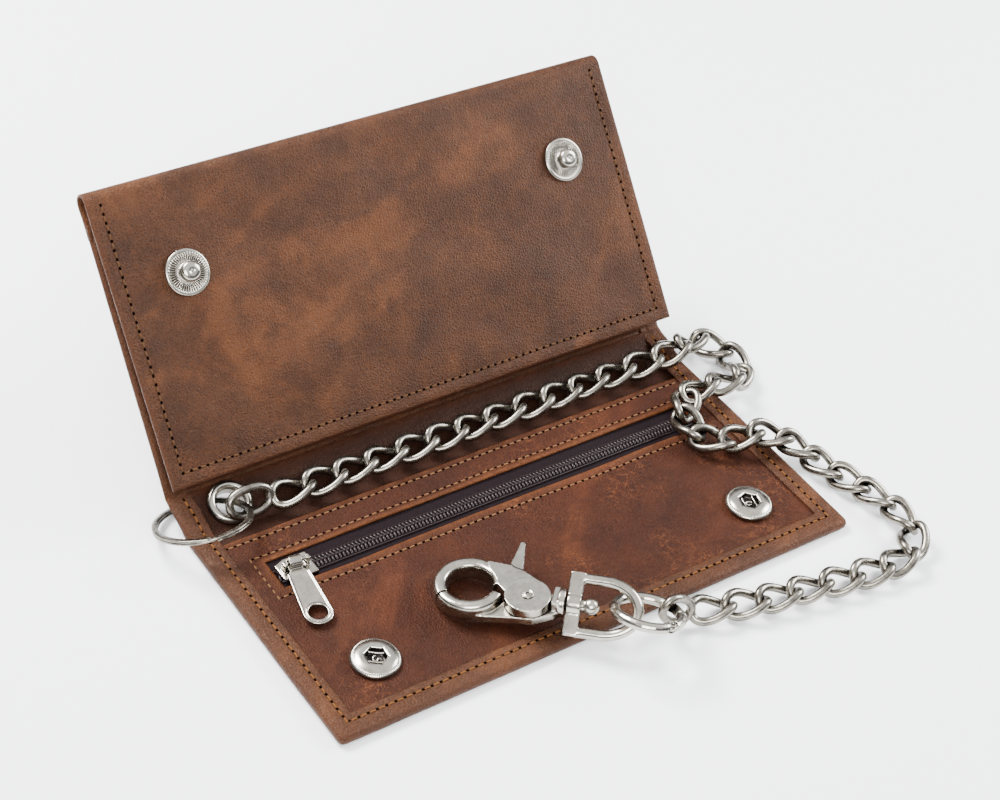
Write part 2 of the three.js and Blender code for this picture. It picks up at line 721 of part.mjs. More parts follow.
const firstLink = piece('chain_first_link', oneLink(), chainSteel);
firstLink.position.set(splitRingPlace.x + splitRingMiddle + 1.6, splitRingPlace.y, 8);
firstLink.rotation.set(degrees(62), 0, 0, 'ZYX');
const lastLink = piece('chain_last_link', oneLink(), chainSteel);
lastLink.position.set(16, -8.2, 8.8);
lastLink.rotation.set(degrees(90), degrees(43.7), 0, 'ZYX');

// The wallet stands with its origin under the middle of the panels, without the chain and what hangs on it.
const wallet = new THREE.Group();
wallet.add(base, back);
const extent = new THREE.Box3().setFromObject(wallet, true);
wallet.add(ring, hook, gateRing, firstLink, chain, lastLink);
wallet.position.y = -(extent.min.y + extent.max.y) / 2;

const chainWallet = new THREE.Group();
chainWallet.add(wallet);
export default chainWallet;
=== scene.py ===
"""Looks of a chain wallet in pull-up leather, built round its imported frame.

Lengths are millimetres from the middle of the base's front edge, and lay() turns them into the
frame's metres. A place on the leather is x across the wallet, s along the leather's developed
length and n over its outer face. The functions named _map turn s and n into Y and Z.
"""
import math
import random
from contextlib import contextmanager

import bmesh
import bpy
import numpy as np
from mathutils import Matrix, Vector, noise


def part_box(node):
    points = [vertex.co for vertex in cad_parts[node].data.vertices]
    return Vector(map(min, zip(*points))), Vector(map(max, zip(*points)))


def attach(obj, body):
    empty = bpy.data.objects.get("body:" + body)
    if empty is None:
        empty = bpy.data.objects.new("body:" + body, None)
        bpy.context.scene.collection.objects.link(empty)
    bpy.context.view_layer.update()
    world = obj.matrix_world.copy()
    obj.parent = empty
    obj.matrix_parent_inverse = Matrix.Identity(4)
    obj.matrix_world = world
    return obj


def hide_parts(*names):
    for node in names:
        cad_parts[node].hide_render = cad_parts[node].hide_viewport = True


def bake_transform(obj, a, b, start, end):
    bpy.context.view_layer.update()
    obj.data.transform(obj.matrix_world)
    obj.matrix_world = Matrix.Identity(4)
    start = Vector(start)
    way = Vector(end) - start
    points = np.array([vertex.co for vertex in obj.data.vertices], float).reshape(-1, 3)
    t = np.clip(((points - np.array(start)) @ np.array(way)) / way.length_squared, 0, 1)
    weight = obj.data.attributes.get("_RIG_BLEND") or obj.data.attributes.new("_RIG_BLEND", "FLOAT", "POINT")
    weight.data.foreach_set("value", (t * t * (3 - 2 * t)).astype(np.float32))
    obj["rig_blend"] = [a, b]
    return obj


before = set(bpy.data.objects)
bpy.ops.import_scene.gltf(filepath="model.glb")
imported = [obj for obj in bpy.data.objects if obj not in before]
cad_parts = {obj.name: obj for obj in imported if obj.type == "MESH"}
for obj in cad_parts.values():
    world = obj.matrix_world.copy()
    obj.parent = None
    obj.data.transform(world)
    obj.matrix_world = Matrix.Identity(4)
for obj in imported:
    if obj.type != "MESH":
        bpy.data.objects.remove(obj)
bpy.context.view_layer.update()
random.seed(7)

MM = 0.001
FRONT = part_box("base_leather")[0].y
HALF = 92.5  # half the wallet's width
BASE = 86.5  # the base's depth
HINGE = 15.5  # the hinge strip's length
SLOPE = math.radians(24)  # the hinge strip's
LEAN = math.radians(50.7)  # the back panel's
FLAP_TURN = math.radians(180 + 48.7)  # the direction that the flap hangs in
INNER = 1.6  # the hinge axis over the outer face
BACK_LENGTH = 89.3
FLAP_LENGTH = 87.0
FOLD = 3.2  # the top fold's radius


def lay(x, y, z):
    return Vector((x * MM, y * MM + FRONT, z * MM))


def link(name, data):
    obj = bpy.data.objects.new(name, data)
    bpy.context.collection.objects.link(obj)
    return obj


def fill_ramp(ramp, stops):
    """Gives a colour ramp its stops, each a position with a grey or a colour."""
    ramp.elements[0].position, ramp.elements[1].position = stops[0][0], stops[-1][0]
    for position, _ in stops[1:-1]:
        ramp.elements.new(position)
    for element, (_, color) in zip(ramp.elements, stops):
        element.color = (*color, 1) if hasattr(color, "__len__") else (color, color, color, 1)


# ---------------------------------------------------------------- camera, light and floor
FOCAL_LENGTH = 79.309
CAMERA_PLACE = (-0.32195, -0.3117 + FRONT, 0.46482)
CAMERA_TURN = (48.899, -7.015, -34.339)
WHITE = (1, 1, 1)
LIGHTS = (  # name, place, target, size, watts, colour
    ("key", (-0.25, 0.55, 0.75), (0, 0, 0.03), (0.5, 0.35), 32.0, WHITE),
    ("side", (0.75, -0.15, 0.45), (0, 0, 0.02), (0.4, 0.4), 15.0, (0.94, 0.97, 1.0)),
    ("front", (-0.5, -0.75, 0.7), (0, 0, 0.02), (0.6, 0.4), 16.0, WHITE),
)
SKY = ((0.0, (0.05, 0.055, 0.065)), (0.42, (0.07, 0.075, 0.088)), (0.6, (0.85, 0.88, 0.94)),
       (1.0, WHITE))
SKY_STRENGTH = 1.75
PAPER = ((0.3, (0.93, 0.935, 0.95)), (0.7, (0.96, 0.965, 0.975)))


def make_camera():
    data = bpy.data.cameras.new("camera")
    data.lens = FOCAL_LENGTH
    data.sensor_width = 36
    data.clip_start = 0.01
    camera = link("camera", data)
    camera.location = CAMERA_PLACE
    camera.rotation_euler = [math.radians(a) for a in CAMERA_TURN]
    bpy.context.scene.camera = camera


def make_studio():
    """Three soft lights, and a sky that is dark below the horizon so that metal has contrast."""
    for name, place, target, size, watts, color in LIGHTS:
        data = bpy.data.lights.new(name, "AREA")
        data.shape = "RECTANGLE"
        data.size, data.size_y = size
        data.energy = watts
        data.color = color
        light = link(name, data)
        light.location = place
        aim = Vector(target) - Vector(place)
        light.rotation_euler = aim.to_track_quat("-Z", "Y").to_euler()
    world = bpy.data.worlds.new("studio")
    bpy.context.scene.world = world
    world.use_nodes = True
    tree = world.node_tree
    background = tree.nodes["Background"]
    place = tree.nodes.new("ShaderNodeTexCoord")
    split = tree.nodes.new("ShaderNodeSeparateXYZ")
    ramp = tree.nodes.new("ShaderNodeValToRGB")
    fill_ramp(ramp.color_ramp, SKY)
    tree.links.new(place.outputs["Generated"], split.inputs[0])
    tree.links.new(split.outputs["Z"], ramp.inputs[0])
    tree.links.new(ramp.outputs[0], background.inputs["Color"])
    background.inputs["Strength"].default_value = SKY_STRENGTH


def make_floor():
    bpy.ops.mesh.primitive_plane_add(size=8, location=(0, 0, -0.0001))
    floor = bpy.context.object
    floor.name = "floor"
    graph = Graph("floor_paper")
    grain = graph.noise(graph.object_place(), 6.0, 3, 0.5)
    graph.wire(graph.ramp(grain, PAPER), "Base Color")
    graph.set("Roughness", 0.75)
    floor.data.materials.append(graph.material)


# ---------------------------------------------------------------- materials
class Graph:
    """A material's node graph, with the few nodes that these surfaces need."""

    def __init__(self, name):
        self.material = bpy.data.materials.new(name)
        self.material.use_nodes = True
        self.tree = self.material.node_tree
        self.shader = self.tree.nodes["Principled BSDF"]

    def add(self, kind, inputs=(), **settings):
        node = self.tree.nodes.new(kind)
        for key, value in settings.items():
            setattr(node, key, value)
        for key, value in dict(inputs).items():
            if hasattr(value, "links"):
                self.tree.links.new(value, node.inputs[key])
            else:
                node.inputs[key].default_value = value
        return node

    def set(self, socket, value):
        self.shader.inputs[socket].default_value = value

    def wire(self, output, socket):
        self.tree.links.new(output, self.shader.inputs[socket])

    def surface(self, tone, roughness, gloss, normal):
        """The shader's colour and normal, with the same roughness and gloss all over."""
        self.wire(tone, "Base Color")
        self.set("Roughness", roughness)
        self.set("Specular IOR Level", gloss)
        self.wire(normal, "Normal")
        return self.material

    def rest_place(self):
        return self.add("ShaderNodeAttribute", attribute_name="rest_place").outputs["Vector"]

    def object_place(self):
        place = self.add("ShaderNodeTexCoord").outputs["Object"]
        return self.vector("MULTIPLY", place, (1000, 1000, 1000))

    def vector(self, kind, first, second):
        return self.add("ShaderNodeVectorMath", {0: first, 1: second}, operation=kind).outputs[0]

    def warped(self, place, warp, size):
        return self.vector("ADD", place, self.vector("MULTIPLY", warp, (size, size, size)))

    def scaled(self, place, scale):
        return self.add("ShaderNodeMapping", {"Vector": place, "Scale": scale}).outputs[0]

    def attribute(self, name):
        return self.add("ShaderNodeAttribute", attribute_name=name).outputs["Fac"]

    def noise(self, place, scale, detail=2.0, rough=0.5, distortion=0.0):
        return self.add("ShaderNodeTexNoise", {
            "Vector": place, "Scale": scale, "Detail": detail, "Roughness": rough,
            "Distortion": distortion,
        }).outputs["Fac"]

    def cells(self, place, scale):
        """The distance from the nearest border between two cells."""
        return self.add("ShaderNodeTexVoronoi", {"Vector": place, "Scale": scale},
                        feature="DISTANCE_TO_EDGE").outputs["Distance"]

    def bands(self, place, direction, **inputs):
        return self.add("ShaderNodeTexWave", {"Vector": place, **inputs}, wave_type="BANDS",
                        bands_direction=direction).outputs["Fac"]

    def ramp(self, value, stops, ease=False):
        node = self.add("ShaderNodeValToRGB", {"Fac": value})
        if ease:
            node.color_ramp.interpolation = "EASE"
        fill_ramp(node.color_ramp, stops)
        return node.outputs[0]

    def math(self, operation, first, second):
        return self.add("ShaderNodeMath", {0: first, 1: second}, operation=operation).outputs[0]

    def mix(self, share, first, second):
        ends = [c if hasattr(c, "links") else (*c, 1) for c in (first, second)]
        return self.add("ShaderNodeMix", {0: share, 6: ends[0], 7: ends[1]},
                        data_type="RGBA").outputs[2]

    def bump(self, height, distance, strength, under=None):
        below = {} if under is None else {"Normal": under}
        return self.add("ShaderNodeBump", {
            "Height": height, "Distance": distance, "Strength": strength, **below}).outputs[0]


def leather(name, dark, middle, light, edge, contrast, grain, rough=0.45, crackle=0.0, gloss=0.2):
    """Waxed leather: soft marks where the wax moved, a fine pebble, creases and rubbed edges."""
    graph = Graph(name)
    place = graph.rest_place()
    slant = graph.add("ShaderNodeMapping", {"Vector": place, "Rotation": (0, 0, math.radians(-38))})
    broad = graph.noise(graph.scaled(slant.outputs[0], (0.5, 1.35, 0.9)), 0.019, 4, 0.6, 1.2)
    cloud = graph.noise(place, 0.06, 6, 0.7, 0.6)
    marks = graph.math("ADD", graph.math("MULTIPLY", broad, 0.62),
                       graph.math("MULTIPLY", cloud, 0.38))
    spread = 0.085 / contrast
    tone = graph.ramp(marks, ((0.5 - 1.4 * spread, dark), (0.5, middle),
                              (0.5 + 1.6 * spread, light)), True)

    warp = graph.add("ShaderNodeTexNoise", {"Vector": place, "Scale": 0.6, "Detail": 2.0})
    warp = warp.outputs["Color"]
    pebble = graph.cells(graph.warped(place, warp, 1.1), 1.05)
    valley = graph.ramp(pebble, ((0.0, 1.0), (0.2, 0.0)))
    patch = graph.ramp(graph.noise(place, 0.09, 4, 0.65), ((0.38, 0.3), (0.62, 1.0)))
    mottle = graph.ramp(graph.noise(place, 1.6, 5, 0.75), ((0.42, 0.0), (0.62, 1.0)))
    seen = graph.math("MULTIPLY", graph.math("MAXIMUM", valley, mottle),
                      graph.math("MULTIPLY", patch, 0.7 * grain))
    tone = graph.mix(seen, tone, light)
    fine = graph.noise(place, 3.0, 4, 0.7)
    tone = graph.mix(graph.ramp(fine, ((0.36, 0.6), (0.6, 0.0))), tone, dark)

    if crackle:
        crease = graph.cells(graph.warped(place, warp, 5), 0.3)
        line = graph.ramp(crease, ((0.0, 1.0), (0.035, 0.0)))
        where = graph.ramp(graph.noise(place, 0.035, 3, 0.6), ((0.5, 0.0), (0.62, crackle)))
        tone = graph.mix(graph.math("MULTIPLY", line, where), tone, edge)
    uneven = graph.ramp(graph.noise(place, 0.28, 5, 0.7), ((0.3, 0.3), (0.62, 0.9)))
    tone = graph.mix(graph.math("MULTIPLY", graph.attribute("wear"), uneven), tone, edge)

    coarse = graph.bump(graph.noise(place, 0.22, 3, 0.5), 0.0005, 0.4)
    domes = graph.ramp(pebble, ((0.0, 0.0), (0.32, 1.0)), True)
    pebbled = graph.bump(domes, 0.0002, 0.75 * grain, coarse)
    graph.surface(tone, rough, gloss, graph.bump(fine, 0.00014, 0.8, pebbled))
    graph.set("Specular Tint", (1.0, 0.7, 0.55, 1.0))
    waxy = graph.noise(place, 0.7, 4, 0.6)
    graph.wire(graph.ramp(waxy, ((0.3, rough - 0.08), (0.7, rough + 0.12))), "Roughness")
    return graph.material


def frayed_edge(name):
    """The skived hem under the stitches, rough and golden."""
    graph = Graph(name)
    fibre = graph.noise(graph.rest_place(), 2.4, 6, 0.8, 1.5)
    tone = graph.ramp(fibre, ((0.34, (0.022, 0.0085, 0.004)), (0.52, (0.05, 0.019, 0.0075)),
                              (0.75, (0.15, 0.058, 0.018))))
    return graph.surface(tone, 0.8, 0.1, graph.bump(fibre, 0.0005, 0.8))


def thread(name, base, other):
    graph = Graph(name)
    twist = graph.bands(graph.rest_place(), "DIAGONAL", Scale=1.5, Distortion=1.2, Detail=1.0)
    return graph.surface(graph.mix(twist, base, other), 0.7, 0.12,
                         graph.bump(twist, 0.00012, 0.7))


def pitch_dark(name):
    """The inside of a needle hole, where hardly any light gets."""
    graph = Graph(name)
    tone = graph.ramp(graph.noise(graph.rest_place(), 2.0), (
        (0.3, (0.001, 0.0006, 0.0005)), (0.7, (0.003, 0.0015, 0.001))))
    graph.wire(tone, "Base Color")
    graph.set("Roughness", 1.0)
    graph.set("Specular IOR Level", 0.0)
    return graph.material


def woven(name, base, other, scale):
    """A woven tape or cloth. A larger scale has finer threads."""
    graph = Graph(name)
    place = graph.rest_place()
    weave = graph.math("MULTIPLY", *(graph.bands(place, way, Scale=scale, Distortion=0.6)
                                     for way in "XY"))
    fleck = graph.noise(place, 1.5, 4, 0.7)
    tone = graph.mix(graph.math("MULTIPLY", weave, fleck), base, other)
    return graph.surface(tone, 0.85, 0.1, graph.bump(weave, 0.0002, 0.8))


def nylon(name, base, other):
    graph = Graph(name)
    place = graph.rest_place()
    tone = graph.mix(graph.noise(place, 0.8, 3, 0.6), base, other)
    return graph.surface(tone, 0.36, 0.25, graph.bump(graph.noise(place, 4, 2), 0.0001, 0.4))


def metal(name, bright, worn, rough, scratch, recess_shade, on_node=False):
    """Plated metal, satin on top, with painted shade where the AO node finds it closed in, in its recesses
    and between and under parts; on the chain this also stands for the darker oxide in its crevices. A CAD
    node has no rest_place.
    """
    graph = Graph(name)
    place = graph.object_place() if on_node else graph.rest_place()
    cloudy = graph.noise(place, 0.3, 4, 0.6, 0.3)
    tone = graph.ramp(cloudy, ((0.3, worn), (0.6, bright)))
    # Painted shade: where the AO node finds other surfaces near, the base colour darkens towards a dark copy
    # of the worn tone.
    open_air = graph.add("ShaderNodeAmbientOcclusion", {"Distance": 0.0035}, samples=6)
    unshaded_share = graph.ramp(open_air.outputs["AO"], ((0.25, 1.0 - recess_shade), (0.8, 1.0)))
    graph.wire(graph.mix(unshaded_share, tuple(c * 0.12 for c in worn), tone), "Base Color")
    graph.set("Metallic", 1.0)
    line = graph.noise(graph.scaled(place, (7, 0.9, 4)), 1.0, 3, 0.7)
    brushed = graph.math("MULTIPLY", cloudy, line)
    graph.wire(graph.ramp(brushed, ((0.1, rough - 0.04), (0.42, rough + 0.08))), "Roughness")
    graph.wire(graph.bump(line, 0.00002, scratch), "Normal")
    return graph.material


OUTER = leather("outer_leather", (0.0105, 0.0045, 0.0031), (0.0245, 0.0093, 0.0051),
                (0.094, 0.0325, 0.0115), (0.055, 0.019, 0.0085), 0.95, 1.0)
PANEL = leather("panel_leather", (0.0098, 0.0031, 0.0022), (0.0205, 0.0056, 0.0033),
                (0.058, 0.0160, 0.0062), (0.12, 0.040, 0.013), 0.8, 0.8, 0.5, 0.8, 0.13)
LINING = leather("lining_leather", (0.0065, 0.0024, 0.0018), (0.0145, 0.0048, 0.0030),
                 (0.030, 0.0098, 0.0048), (0.05, 0.016, 0.007), 0.7, 0.6, 0.52, 0.0, 0.13)
FRAYED = frayed_edge("frayed_hem")
THREAD = thread("panel_thread", (0.21, 0.105, 0.043), (0.085, 0.04, 0.016))
FLAP_THREAD = thread("flap_thread", (0.115, 0.055, 0.022), (0.045, 0.02, 0.008))
GOLD_THREAD = thread("hem_thread", (0.20, 0.078, 0.02), (0.08, 0.03, 0.009))
NEEDLE = pitch_dark("needle_hole")
TAPE = woven("zip_tape", (0.0045, 0.0019, 0.0028), (0.019, 0.0085, 0.0115), 0.9)
CLOTH = woven("pocket_cloth", (0.010, 0.0055, 0.0062), (0.024, 0.015, 0.015), 0.8)
COIL = nylon("coil_nylon", (0.0055, 0.0028, 0.0031), (0.0165, 0.0088, 0.0092))
# Each plating gives its bright and worn tones, its roughness, its scratch bump and the strength of its
# painted shade in recesses.
PLATING = (0.43, 0.398, 0.342), (0.33, 0.303, 0.256), 0.2, 0.25, 0.8
NICKEL = metal("satin_nickel", *PLATING)
NICKEL_NODE = metal("satin_nickel_node", *PLATING, on_node=True)
STEEL = metal("chain_steel", (0.25, 0.227, 0.19), (0.125, 0.113, 0.093), 0.26, 0.35, 1.0)
SHADOWED = metal("dark_recess", (0.05, 0.045, 0.04), (0.015, 0.013, 0.012), 0.4, 0.3, 0.5)


# ---------------------------------------------------------------- where the leather lies
CREASE_RADIUS = 8.0  # of the bend between the base and the hinge strip


def base_map(s, n):
    """From the front edge, up the hinge strip, to the hinge axis."""
    radius = CREASE_RADIUS
    start = BASE - radius * math.tan(SLOPE / 2)
    arc = radius * SLOPE
    if s <= start:
        return s, n
    if s <= start + arc:
        turn = (s - start) / radius
        return start + (radius - n) * math.sin(turn), radius - (radius - n) * math.cos(turn)
    along = s - start - arc + radius * math.tan(SLOPE / 2)
    return (BASE + along * math.cos(SLOPE) - n * math.sin(SLOPE),
            along * math.sin(SLOPE) + n * math.cos(SLOPE))


AXIS = (BASE + HINGE * math.cos(SLOPE) - INNER * math.sin(SLOPE),
        HINGE * math.sin(SLOPE) + INNER * math.cos(SLOPE))
HINGE_ARC = INNER * (LEAN - SLOPE)
HINGE_END = BASE + HINGE


def back_map(length, n):
    """Up the back panel from the hinge axis."""
    up = n - INNER
    return (AXIS[0] + length * math.cos(LEAN) - up * math.sin(LEAN),
            AXIS[1] + length * math.sin(LEAN) + up * math.cos(LEAN))


def skin_map(s, n):
    """From the front edge, through the hinge, to the top of the back panel."""
    if s <= HINGE_END:
        return base_map(s, n)
    if s <= HINGE_END + HINGE_ARC:
        turn = SLOPE + (s - HINGE_END) / INNER
        return AXIS[0] + (INNER - n) * math.sin(turn), AXIS[1] - (INNER - n) * math.cos(turn)
    return back_map(s - HINGE_END - HINGE_ARC, n)


FOLD_AXIS = back_map(BACK_LENGTH, FOLD)
BACK_SIDE = LEAN - math.pi / 2
FLAP_SIDE = FLAP_TURN - math.pi / 2
FOLD_ARC = FOLD * (FLAP_SIDE - BACK_SIDE)
OVER_START = 80.0  # how far up the back the flap's leather starts
OVER_STRAIGHT = BACK_LENGTH - OVER_START
SKIN_END = HINGE_END + HINGE_ARC + OVER_START


def over_map(s, n, straight=OVER_STRAIGHT):
    """Up the back's last stretch, over the top fold and down the flap."""
    if s <= straight:
        return back_map(BACK_LENGTH - straight + s, n)
    if s <= straight + FOLD_ARC:
        turn = BACK_SIDE + (s - straight) / FOLD
        return (FOLD_AXIS[0] + (FOLD - n) * math.cos(turn),
                FOLD_AXIS[1] + (FOLD - n) * math.sin(turn))
    return flap_map(s - straight - FOLD_ARC, n)


def flap_map(length, n):
    """Down the flap from the fold axis. Here n is the depth under the outer face."""
    cos, sin = math.cos(FLAP_TURN), math.sin(FLAP_TURN)
    return (FOLD_AXIS[0] + length * cos - (n - FOLD) * sin,
            FOLD_AXIS[1] + length * sin + (n - FOLD) * cos)


def flat_map(s, n):
    return s, n


def ripple(x, s, size, seed):
    """A slow, small unevenness, the same at every run."""
    return size * noise.noise(Vector((x * 0.045 + seed, s * 0.05 - seed, seed * 1.7)))


def panel_ripple(x, s):
    return ripple(x, s, 0.5, 1.9)


def over_ripple(x, s):
    return ripple(x, s, 0.9, 5.3)


def flap_ripple(x, s):
    """The same unevenness as over_ripple, measured down the flap from its fold."""
    return over_ripple(x, s + OVER_STRAIGHT + FOLD_ARC)


# ---------------------------------------------------------------- mesh building
def remember(obj):
    """Shades a piece smooth, and notes in millimetres where each of its points lies at rest."""
    mesh = obj.data
    mesh.polygons.foreach_set("use_smooth", [True] * len(mesh.polygons))
    places = np.zeros(len(mesh.vertices) * 3, np.float32)
    mesh.vertices.foreach_get("co", places)
    noted = mesh.attributes
    attribute = noted.get("rest_place") or noted.new("rest_place", "FLOAT_VECTOR", "POINT")
    attribute.data.foreach_set("vector", places * 1000)


@contextmanager
def edited(obj):
    """Opens a piece's mesh for a change, then turns its faces outwards."""
    bm = bmesh.new()
    bm.from_mesh(obj.data)
    yield bm
    bmesh.ops.recalc_face_normals(bm, faces=bm.faces)
    bm.to_mesh(obj.data)
    bm.free()
    remember(obj)


def make(name, points, faces, *materials, wear=None, material_of=None, weld=0.0):
    """A named piece from points in the frame's metres."""
    mesh = bpy.data.meshes.new(name)
    mesh.from_pydata([tuple(p) for p in points], [], faces)
    for material in materials:
        mesh.materials.append(material)
    if wear is not None:
        rubbed = mesh.attributes.new("wear", "FLOAT", "POINT")
        rubbed.data.foreach_set("value", np.asarray(wear, np.float32))
    if material_of is not None:
        mesh.polygons.foreach_set("material_index", np.asarray(material_of, np.int32))
    obj = link(name, mesh)
    with edited(obj) as bm:
        if weld:
            bmesh.ops.remove_doubles(bm, verts=bm.verts, dist=weld)
    return obj


def slotted(obj, node, body=None):
    """The piece replaces a node, which it hides. With a body it rides that body."""
    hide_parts(node)
    if body:
        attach(obj, body)
    return obj


def bend(obj, first, second, axis, start_turn, end_turn, reach):
    """The piece bends from one body to the other, round an axis along X at a place (Y, Z)."""
    start, end = (tuple(lay(0, *axis) + Vector((0, math.cos(turn), math.sin(turn))) * reach * MM)
                  for turn in (start_turn, end_turn))
    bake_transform(obj, first, second, start=start, end=end)


def bend_at_fold(obj):
    bend(obj, "back", "flap", FOLD_AXIS, BACK_SIDE, FLAP_SIDE, 1.6)


def steps(low, high, size, extra=()):
    """Values from low to high, about size apart, with the extra ones among them."""
    count = max(1, int(round((high - low) / size)))
    return sorted({round(low + (high - low) * i / count, 4) for i in range(count + 1)} | set(extra))


def circle(count):
    """Angles evenly spaced once round."""
    return [2 * math.pi * q / count for q in range(count)]


def fan(turn, count):
    """Angles from 0 to turn, both among them."""
    return [turn * k / count for k in range(count + 1)]


def hoop(centre, first, second, width, height, sides):
    """An oval ring of points, with its axes along two directions."""
    return [centre + first * (width * math.cos(a)) + second * (height * math.sin(a))
            for a in circle(sides)]


def hump(distance, width):
    """A smooth bump that is 1 at distance 0."""
    return math.exp(-(distance / width) ** 2)


def share_of(value, span):
    """How far value is along span, held between 0 and 1."""
    return min(1.0, max(0.0, value / span))


def slab_parts(xs, ss, low, high, place, edge, arcs=3):
    """A thin sheet with rounded edges over a grid, and how far each point is from its rim."""
    x0, x1, s0, s1 = xs[0], xs[-1], ss[0], ss[-1]
    points, far, faces = [], [], []

    def put(x, s, n):
        points.append(lay(x, *place(s, n)))
        far.append(min(x - x0, x1 - x, s - s0, s1 - s))
        return len(points) - 1

    def held(x, s):
        return min(max(x, x0 + edge), x1 - edge), min(max(s, s0 + edge), s1 - edge)

    nx, ns = len(xs), len(ss)
    top, bottom = {}, {}
    for i, x in enumerate(xs):
        for j, s in enumerate(ss):
            at = held(x, s)
            top[i, j] = put(*at, high(*at))
            bottom[i, j] = put(*at, low(*at))
    for i in range(nx - 1):
        for j in range(ns - 1):
            faces.append((top[i, j], top[i + 1, j], top[i + 1, j + 1], top[i, j + 1]))
            faces.append((bottom[i, j], bottom[i, j + 1], bottom[i + 1, j + 1], bottom[i + 1, j]))
    loop = [(i, 0) for i in range(nx - 1)] + [(nx - 1, j) for j in range(ns - 1)]
    loop += [(i, ns - 1) for i in range(nx - 1, 0, -1)] + [(0, j) for j in range(ns - 1, 0, -1)]
    rings = [[top[k] for k in loop]]
    for step in range(1, arcs + 1):
        turn = math.pi * step / (arcs + 1)
        reach = edge * math.sin(turn)
        ring = []
        for i, j in loop:
            x, s = held(xs[i], ss[j])
            up, down = high(x, s), low(x, s)
            out_x = (i == nx - 1) - (i == 0)
            out_s = (j == ns - 1) - (j == 0)
            ring.append(put(x + out_x * reach, s + out_s * reach,
                            (up + down) / 2 + (up - down) / 2 * math.cos(turn)))
        rings.append(ring)
    rings.append([bottom[k] for k in loop])
    for first, second in zip(rings, rings[1:]):
        for a in range(len(loop)):
            b = (a + 1) % len(loop)
            faces.append((first[a], second[a], second[b], first[b]))
    return points, faces, far


def sheet(name, xs, ss, low, high, place, material, edge):
    """One soft sheet as its own piece. A height is a number, or a function of x and s."""
    low, high = (h if callable(h) else (lambda x, s, h=h: h) for h in (low, high))
    points, faces, far = slab_parts(xs, ss, low, high, place, edge)
    return make(name, points, faces, material, wear=[max(0.0, 1 - f / 2.5) for f in far])


def sweep(rings, closed=False):
    """Faces that join rings of equal length. An open run gets a face over each end."""
    points = [p for ring in rings for p in ring]
    size, faces = len(rings[0]), []
    for a in range(len(rings) - (0 if closed else 1)):
        b = (a + 1) % len(rings)
        for i in range(size):
            j = (i + 1) % size
            faces.append((a * size + i, b * size + i, b * size + j, a * size + j))
    if not closed:
        faces.append(tuple(range(size)))
        faces.append(tuple(reversed(range((len(rings) - 1) * size, len(rings) * size))))
    return points, faces


def gather(parts):
    """Several (points, faces) joined into one."""
    points, faces = [], []
    for some, more in parts:
        offset = len(points)
        points.extend(some)
        faces.extend(tuple(i + offset for i in face) for face in more)
    return points, faces


# ---------------------------------------------------------------- base, hinge and back panel
HEM = 8.0  # the turned-over strip's width
HEM_BASE, HEM_HINGE, HEM_BACK = 3.6, 1.5, 2.4  # its height on the base, the hinge and the back
HEM_PROFILE = [(2.4, 0.0)] + [  # inward distance, and height from 0 to 1, round the hem's section
    (1.7 - 1.7 * math.sin(a), 0.5 - 0.5 * math.cos(a)) for a in fan(math.pi, 10)] + [
    (3.2, 1.0), (4.4, 0.985), (5.0, 0.93), (5.6, 0.965), (6.6, 0.96), (7.4, 0.93), (7.85, 0.88),
    (7.7, 0.83), (6.0, 0.82), (2.6, 0.82), (1.5, 0.62), (1.5, 0.36), (2.4, 0.2)]
CORNER, CORNER_STEPS = 2.2, 5
LEATHER_THICK = 0.9
EYELET = (-75.0, 7.9)  # its x, and its distance up the hinge strip
EYELET_OPENING = 5.3
HINGE_BENDS = [BASE - 1.7 + 0.45 * k for k in range(9)]


def hem_top(s):
    """The hem's height: full on the base, pressed flat at the hinge, thinner on the back."""
    if s < HINGE_END - 9:
        return HEM_BASE
    if s < HINGE_END + HINGE_ARC:
        start, end, share = HEM_BASE, HEM_HINGE, share_of(s - HINGE_END + 9, 8)
    else:
        start, end, share = HEM_HINGE, HEM_BACK, share_of(s - HINGE_END - HINGE_ARC, 7)
    return start + (end - start) * share * share * (3 - 2 * share)


def hem_path(inset, us, ts):
    """The U down the left side, along the front and up the right side, at an inward distance."""
    rounding = max(CORNER - inset, 0.02)
    half = HALF - inset
    centre = inset + rounding
    side = [centre + u * (SKIN_END - inset - rounding) for u in us]

    def corner(sign, start):
        turns = [start + math.pi / 2 * k / CORNER_STEPS for k in range(1, CORNER_STEPS)]
        return [(sign * (half - rounding) + rounding * math.cos(a),
                 centre + rounding * math.sin(a)) for a in turns]

    return ([(-half, s) for s in reversed(side)] + corner(-1, math.pi)
            + [(t * (half - rounding), inset) for t in ts] + corner(1, 1.5 * math.pi)
            + [(half, s) for s in side])


def punch(obj):
    """A round hole through a sheet where the eyelet sits, walled between its two faces."""
    x, along = EYELET
    centre = lay(x, BASE + along * math.cos(SLOPE), along * math.sin(SLOPE))
    normal = Vector((0, -math.sin(SLOPE), math.cos(SLOPE)))

    def flat(place):
        gap = place - centre
        return gap - normal * gap.dot(normal)

    def off(place):
        return flat(place).length / MM

    with edited(obj) as bm:
        near = [e for e in bm.edges
                if all(off(v.co) < 9.5 and v.co.x / MM > 8.6 - HALF for v in e.verts)]
        bmesh.ops.subdivide_edges(bm, edges=near, cuts=5, use_grid_fill=True)
        gone = [f for f in bm.faces if off(f.calc_center_median()) < EYELET_OPENING]
        bmesh.ops.delete(bm, geom=gone, context="FACES")
        rim = [e for e in bm.edges
               if e.is_boundary and off(e.verts[0].co) < EYELET_OPENING + 2]
        for vert in {v for e in rim for v in e.verts}:
            away = flat(vert.co)
            vert.co += away.normalized() * (EYELET_OPENING * MM) - away
        bmesh.ops.bridge_loops(bm, edges=rim)


